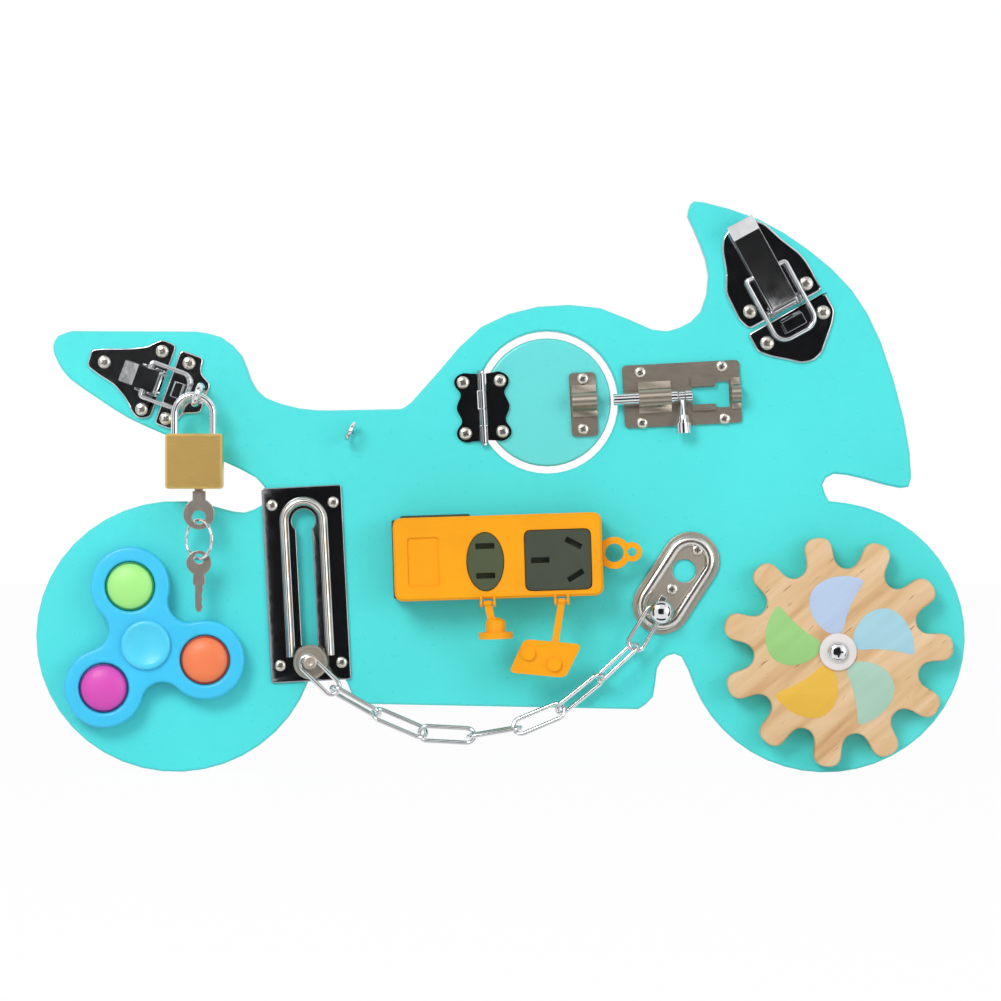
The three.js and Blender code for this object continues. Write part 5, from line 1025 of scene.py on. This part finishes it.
def fit_plates():
    """The metal fittings, with the widths of their rounded edges in millimetres."""
    for node in ("hinge_leaf_fixed", "hinge_leaf_door", "hinge_pin"):
        eased(node, 0.3)
    for node, place, reach in (("latch_base", LATCH, 0.9), ("latch_keeper", LATCH, 0.9),
                               ("hasp_base", HASP, 0.5), ("hasp_staple", HASP, 0.7)):
        piece = eased(node, 0.25, 4, degrees=40, crest=(place, PLATE_TOP, reach))
        # Each plate's rim gets a painted highlight of bright chrome.
        rim_highlight(piece, place)
    for node in ("latch_lever", "latch_pin", "hasp_pin"):
        eased(node, 0.3, degrees=40)
    eased("hasp_lever", 0.3, finish=FINISHES["chrome"], degrees=40)
    for node in ("bolt_housing", "door_keeper"):
        eased(node, 0.25, finish=BOLT_STEEL, degrees=40)
    for node in ("bolt_rod", "bolt_knob"):
        eased(node, 0.25, degrees=40)
    for node in ("key_in_lock", "spare_key"):
        eased(node, 0.25, finish=KEY_STEEL)
    eased("padlock_body", 0.35, 3)
    eased("lock_plug", 0.2)
    fit_track()
    fit_anchor()


def fit_bodies():
    """The board, its door and the plastic toys, with the widths of their rounded edges."""
    for node in ("board_panel", "door_disc"):
        eased(node, 0.5, 3, degrees=25)
    eased("socket_base", 0.6, 3)
    eased("socket_case", 0.5, 3, degrees=40)
    eased("socket_insert_oval", 0.3)
    eased("socket_insert_square", 0.3)
    eased("socket_hang_loop", 0.7, 3, degrees=40)
    for node in ("cap_round", "cap_square"):
        eased(node, 0.4, degrees=40)
    for node in ("spinner_post", "spinner_spacer"):
        eased(node, 0.2)


fit_bodies()
fit_plates()
fit_wires()
fit_chain()
screw_shape = fit_screws()
fit_wheel()
fit_petals()
fit_axle(screw_shape)
bpy.data.objects.remove(screw_shape)
fit_spinner()
fit_domes()
fit_button()


# Floor, light and camera
def nearly_white(name, base, strength):
    """A pale surface that the camera sees nearly white, and that still takes a shadow."""
    material = bpy.data.materials.new(name)
    material.use_nodes = True
    nodes, links = material.node_tree.nodes, material.node_tree.links
    shader = nodes["Principled BSDF"]
    shader.inputs["Base Color"].default_value = (base, base, base, 1)
    shader.inputs["Roughness"].default_value = 0.9
    glow = nodes.new("ShaderNodeEmission")
    path = nodes.new("ShaderNodeLightPath")
    share = nodes.new("ShaderNodeMath")
    mix = nodes.new("ShaderNodeMixShader")
    share.operation = "MULTIPLY"
    share.inputs[1].default_value = strength
    links.new(path.outputs["Is Camera Ray"], share.inputs[0])
    links.new(share.outputs[0], mix.inputs[0])
    links.new(shader.outputs[0], mix.inputs[1])
    links.new(glow.outputs[0], mix.inputs[2])
    links.new(mix.outputs[0], nodes["Material Output"].inputs["Surface"])
    return material


def flat_card(name, corners, material):
    """A rectangle of the stage, which isn't part of the object."""
    mesh = bpy.data.meshes.new(name)
    mesh.from_pydata(corners, [], [(0, 1, 2, 3)])
    mesh.materials.append(material)
    card = bpy.data.objects.new(name, mesh)
    bpy.context.scene.collection.objects.link(card)
    return card


def soft_lamp(name, position, size, power):
    """A round lamp that faces the middle of the board."""
    data = bpy.data.lights.new(name, "AREA")
    data.shape = "DISK"
    data.size = size
    data.energy = power
    lamp = bpy.data.objects.new(name, data)
    lamp.location = position
    lamp.rotation_euler = (-Vector(position)).to_track_quat("-Z", "Y").to_euler()
    bpy.context.scene.collection.objects.link(lamp)


floor_z = CAD_BOUNDS[0][2]
reach = 4
floor_corners = [(x, y, floor_z) for x, y in (
    (-reach, -reach), (reach, -reach), (reach, reach), (-reach, reach),
)]
floor = flat_card("floor", floor_corners, nearly_white("floor_white", base=0.85, strength=0.96))
floor.visible_glossy = False

# Dark cards that only mirrors see: one behind the camera, and four round the space before the board
dark = bpy.data.materials.new("dark_card")
dark.use_nodes = True
dark_shader = dark.node_tree.nodes["Principled BSDF"]
dark_shader.inputs["Base Color"].default_value = (0.012, 0.012, 0.013, 1)
dark_shader.inputs["Roughness"].default_value = 1
card_y, card_half = -2.3, 0.66
side, front_y, back_y, half = 2.2, -1.85, -0.8, 1.4
standing = ((front_y, -half), (back_y, -half), (back_y, half), (front_y, half))
lying = ((-half, front_y), (half, front_y), (half, back_y), (-half, back_y))
behind = (
    (-card_half, -card_half), (card_half, -card_half),
    (card_half, card_half), (-card_half, card_half),
)
for name, corners in {
    "dark_card": [(x, card_y, z) for x, z in behind],
    "dark_left": [(-side, y, z) for y, z in standing],
    "dark_right": [(side, y, z) for y, z in standing],
    "dark_above": [(x, y, side) for x, y in lying],
    "dark_below": [(x, y, -side) for x, y in lying],
}.items():
    card = flat_card(name, corners, dark)
    card.visible_camera = False
    card.visible_diffuse = False
    card.visible_shadow = False
    card.visible_transmission = False

# A white room, which the camera and mirrors see in full and which lights the board at half strength
world = bpy.data.worlds.new("studio")
bpy.context.scene.world = world
world.use_nodes = True
sky = world.node_tree
path = sky.nodes.new("ShaderNodeLightPath")
brighter = sky.nodes.new("ShaderNodeMath")
brighter.operation = "MAXIMUM"
clearer = sky.nodes.new("ShaderNodeMath")
clearer.operation = "MAXIMUM"
level = sky.nodes.new("ShaderNodeMapRange")
level.inputs["To Min"].default_value = 0.5
level.inputs["To Max"].default_value = 1
sky.nodes["Background"].inputs["Color"].default_value = (1, 1, 1, 1)
sky.links.new(path.outputs["Is Camera Ray"], brighter.inputs[0])
sky.links.new(path.outputs["Is Glossy Ray"], brighter.inputs[1])
sky.links.new(brighter.outputs[0], clearer.inputs[0])
sky.links.new(path.outputs["Is Transmission Ray"], clearer.inputs[1])
sky.links.new(clearer.outputs[0], level.inputs["Value"])
sky.links.new(level.outputs["Result"], sky.nodes["Background"].inputs["Strength"])

soft_lamp("key", (-0.7, -1.5, 0.9), size=0.8, power=15)
soft_lamp("fill", (1.2, -1.3, 0.2), size=1, power=6)

# The camera stands straight before the photograph's middle
frame_width = PHOTO_WIDTH_PX * PHOTO_PIXEL
photo_middle_px = PHOTO_WIDTH_PX / 2
camera_distance = 1.8
camera_data = bpy.data.cameras.new("camera")
camera_data.sensor_width = 36
camera_data.lens = camera_data.sensor_width * camera_distance / frame_width
camera = bpy.data.objects.new("camera", camera_data)
camera_z = (ORIGIN_PX[1] - photo_middle_px) * PHOTO_PIXEL
camera.location = (0, -BOARD_FRONT - camera_distance, camera_z)
camera.rotation_euler = (math.radians(90), 0, 0)
bpy.context.scene.collection.objects.link(camera)
bpy.context.scene.camera = camera
bpy.context.scene.view_settings.view_transform = "Standard"
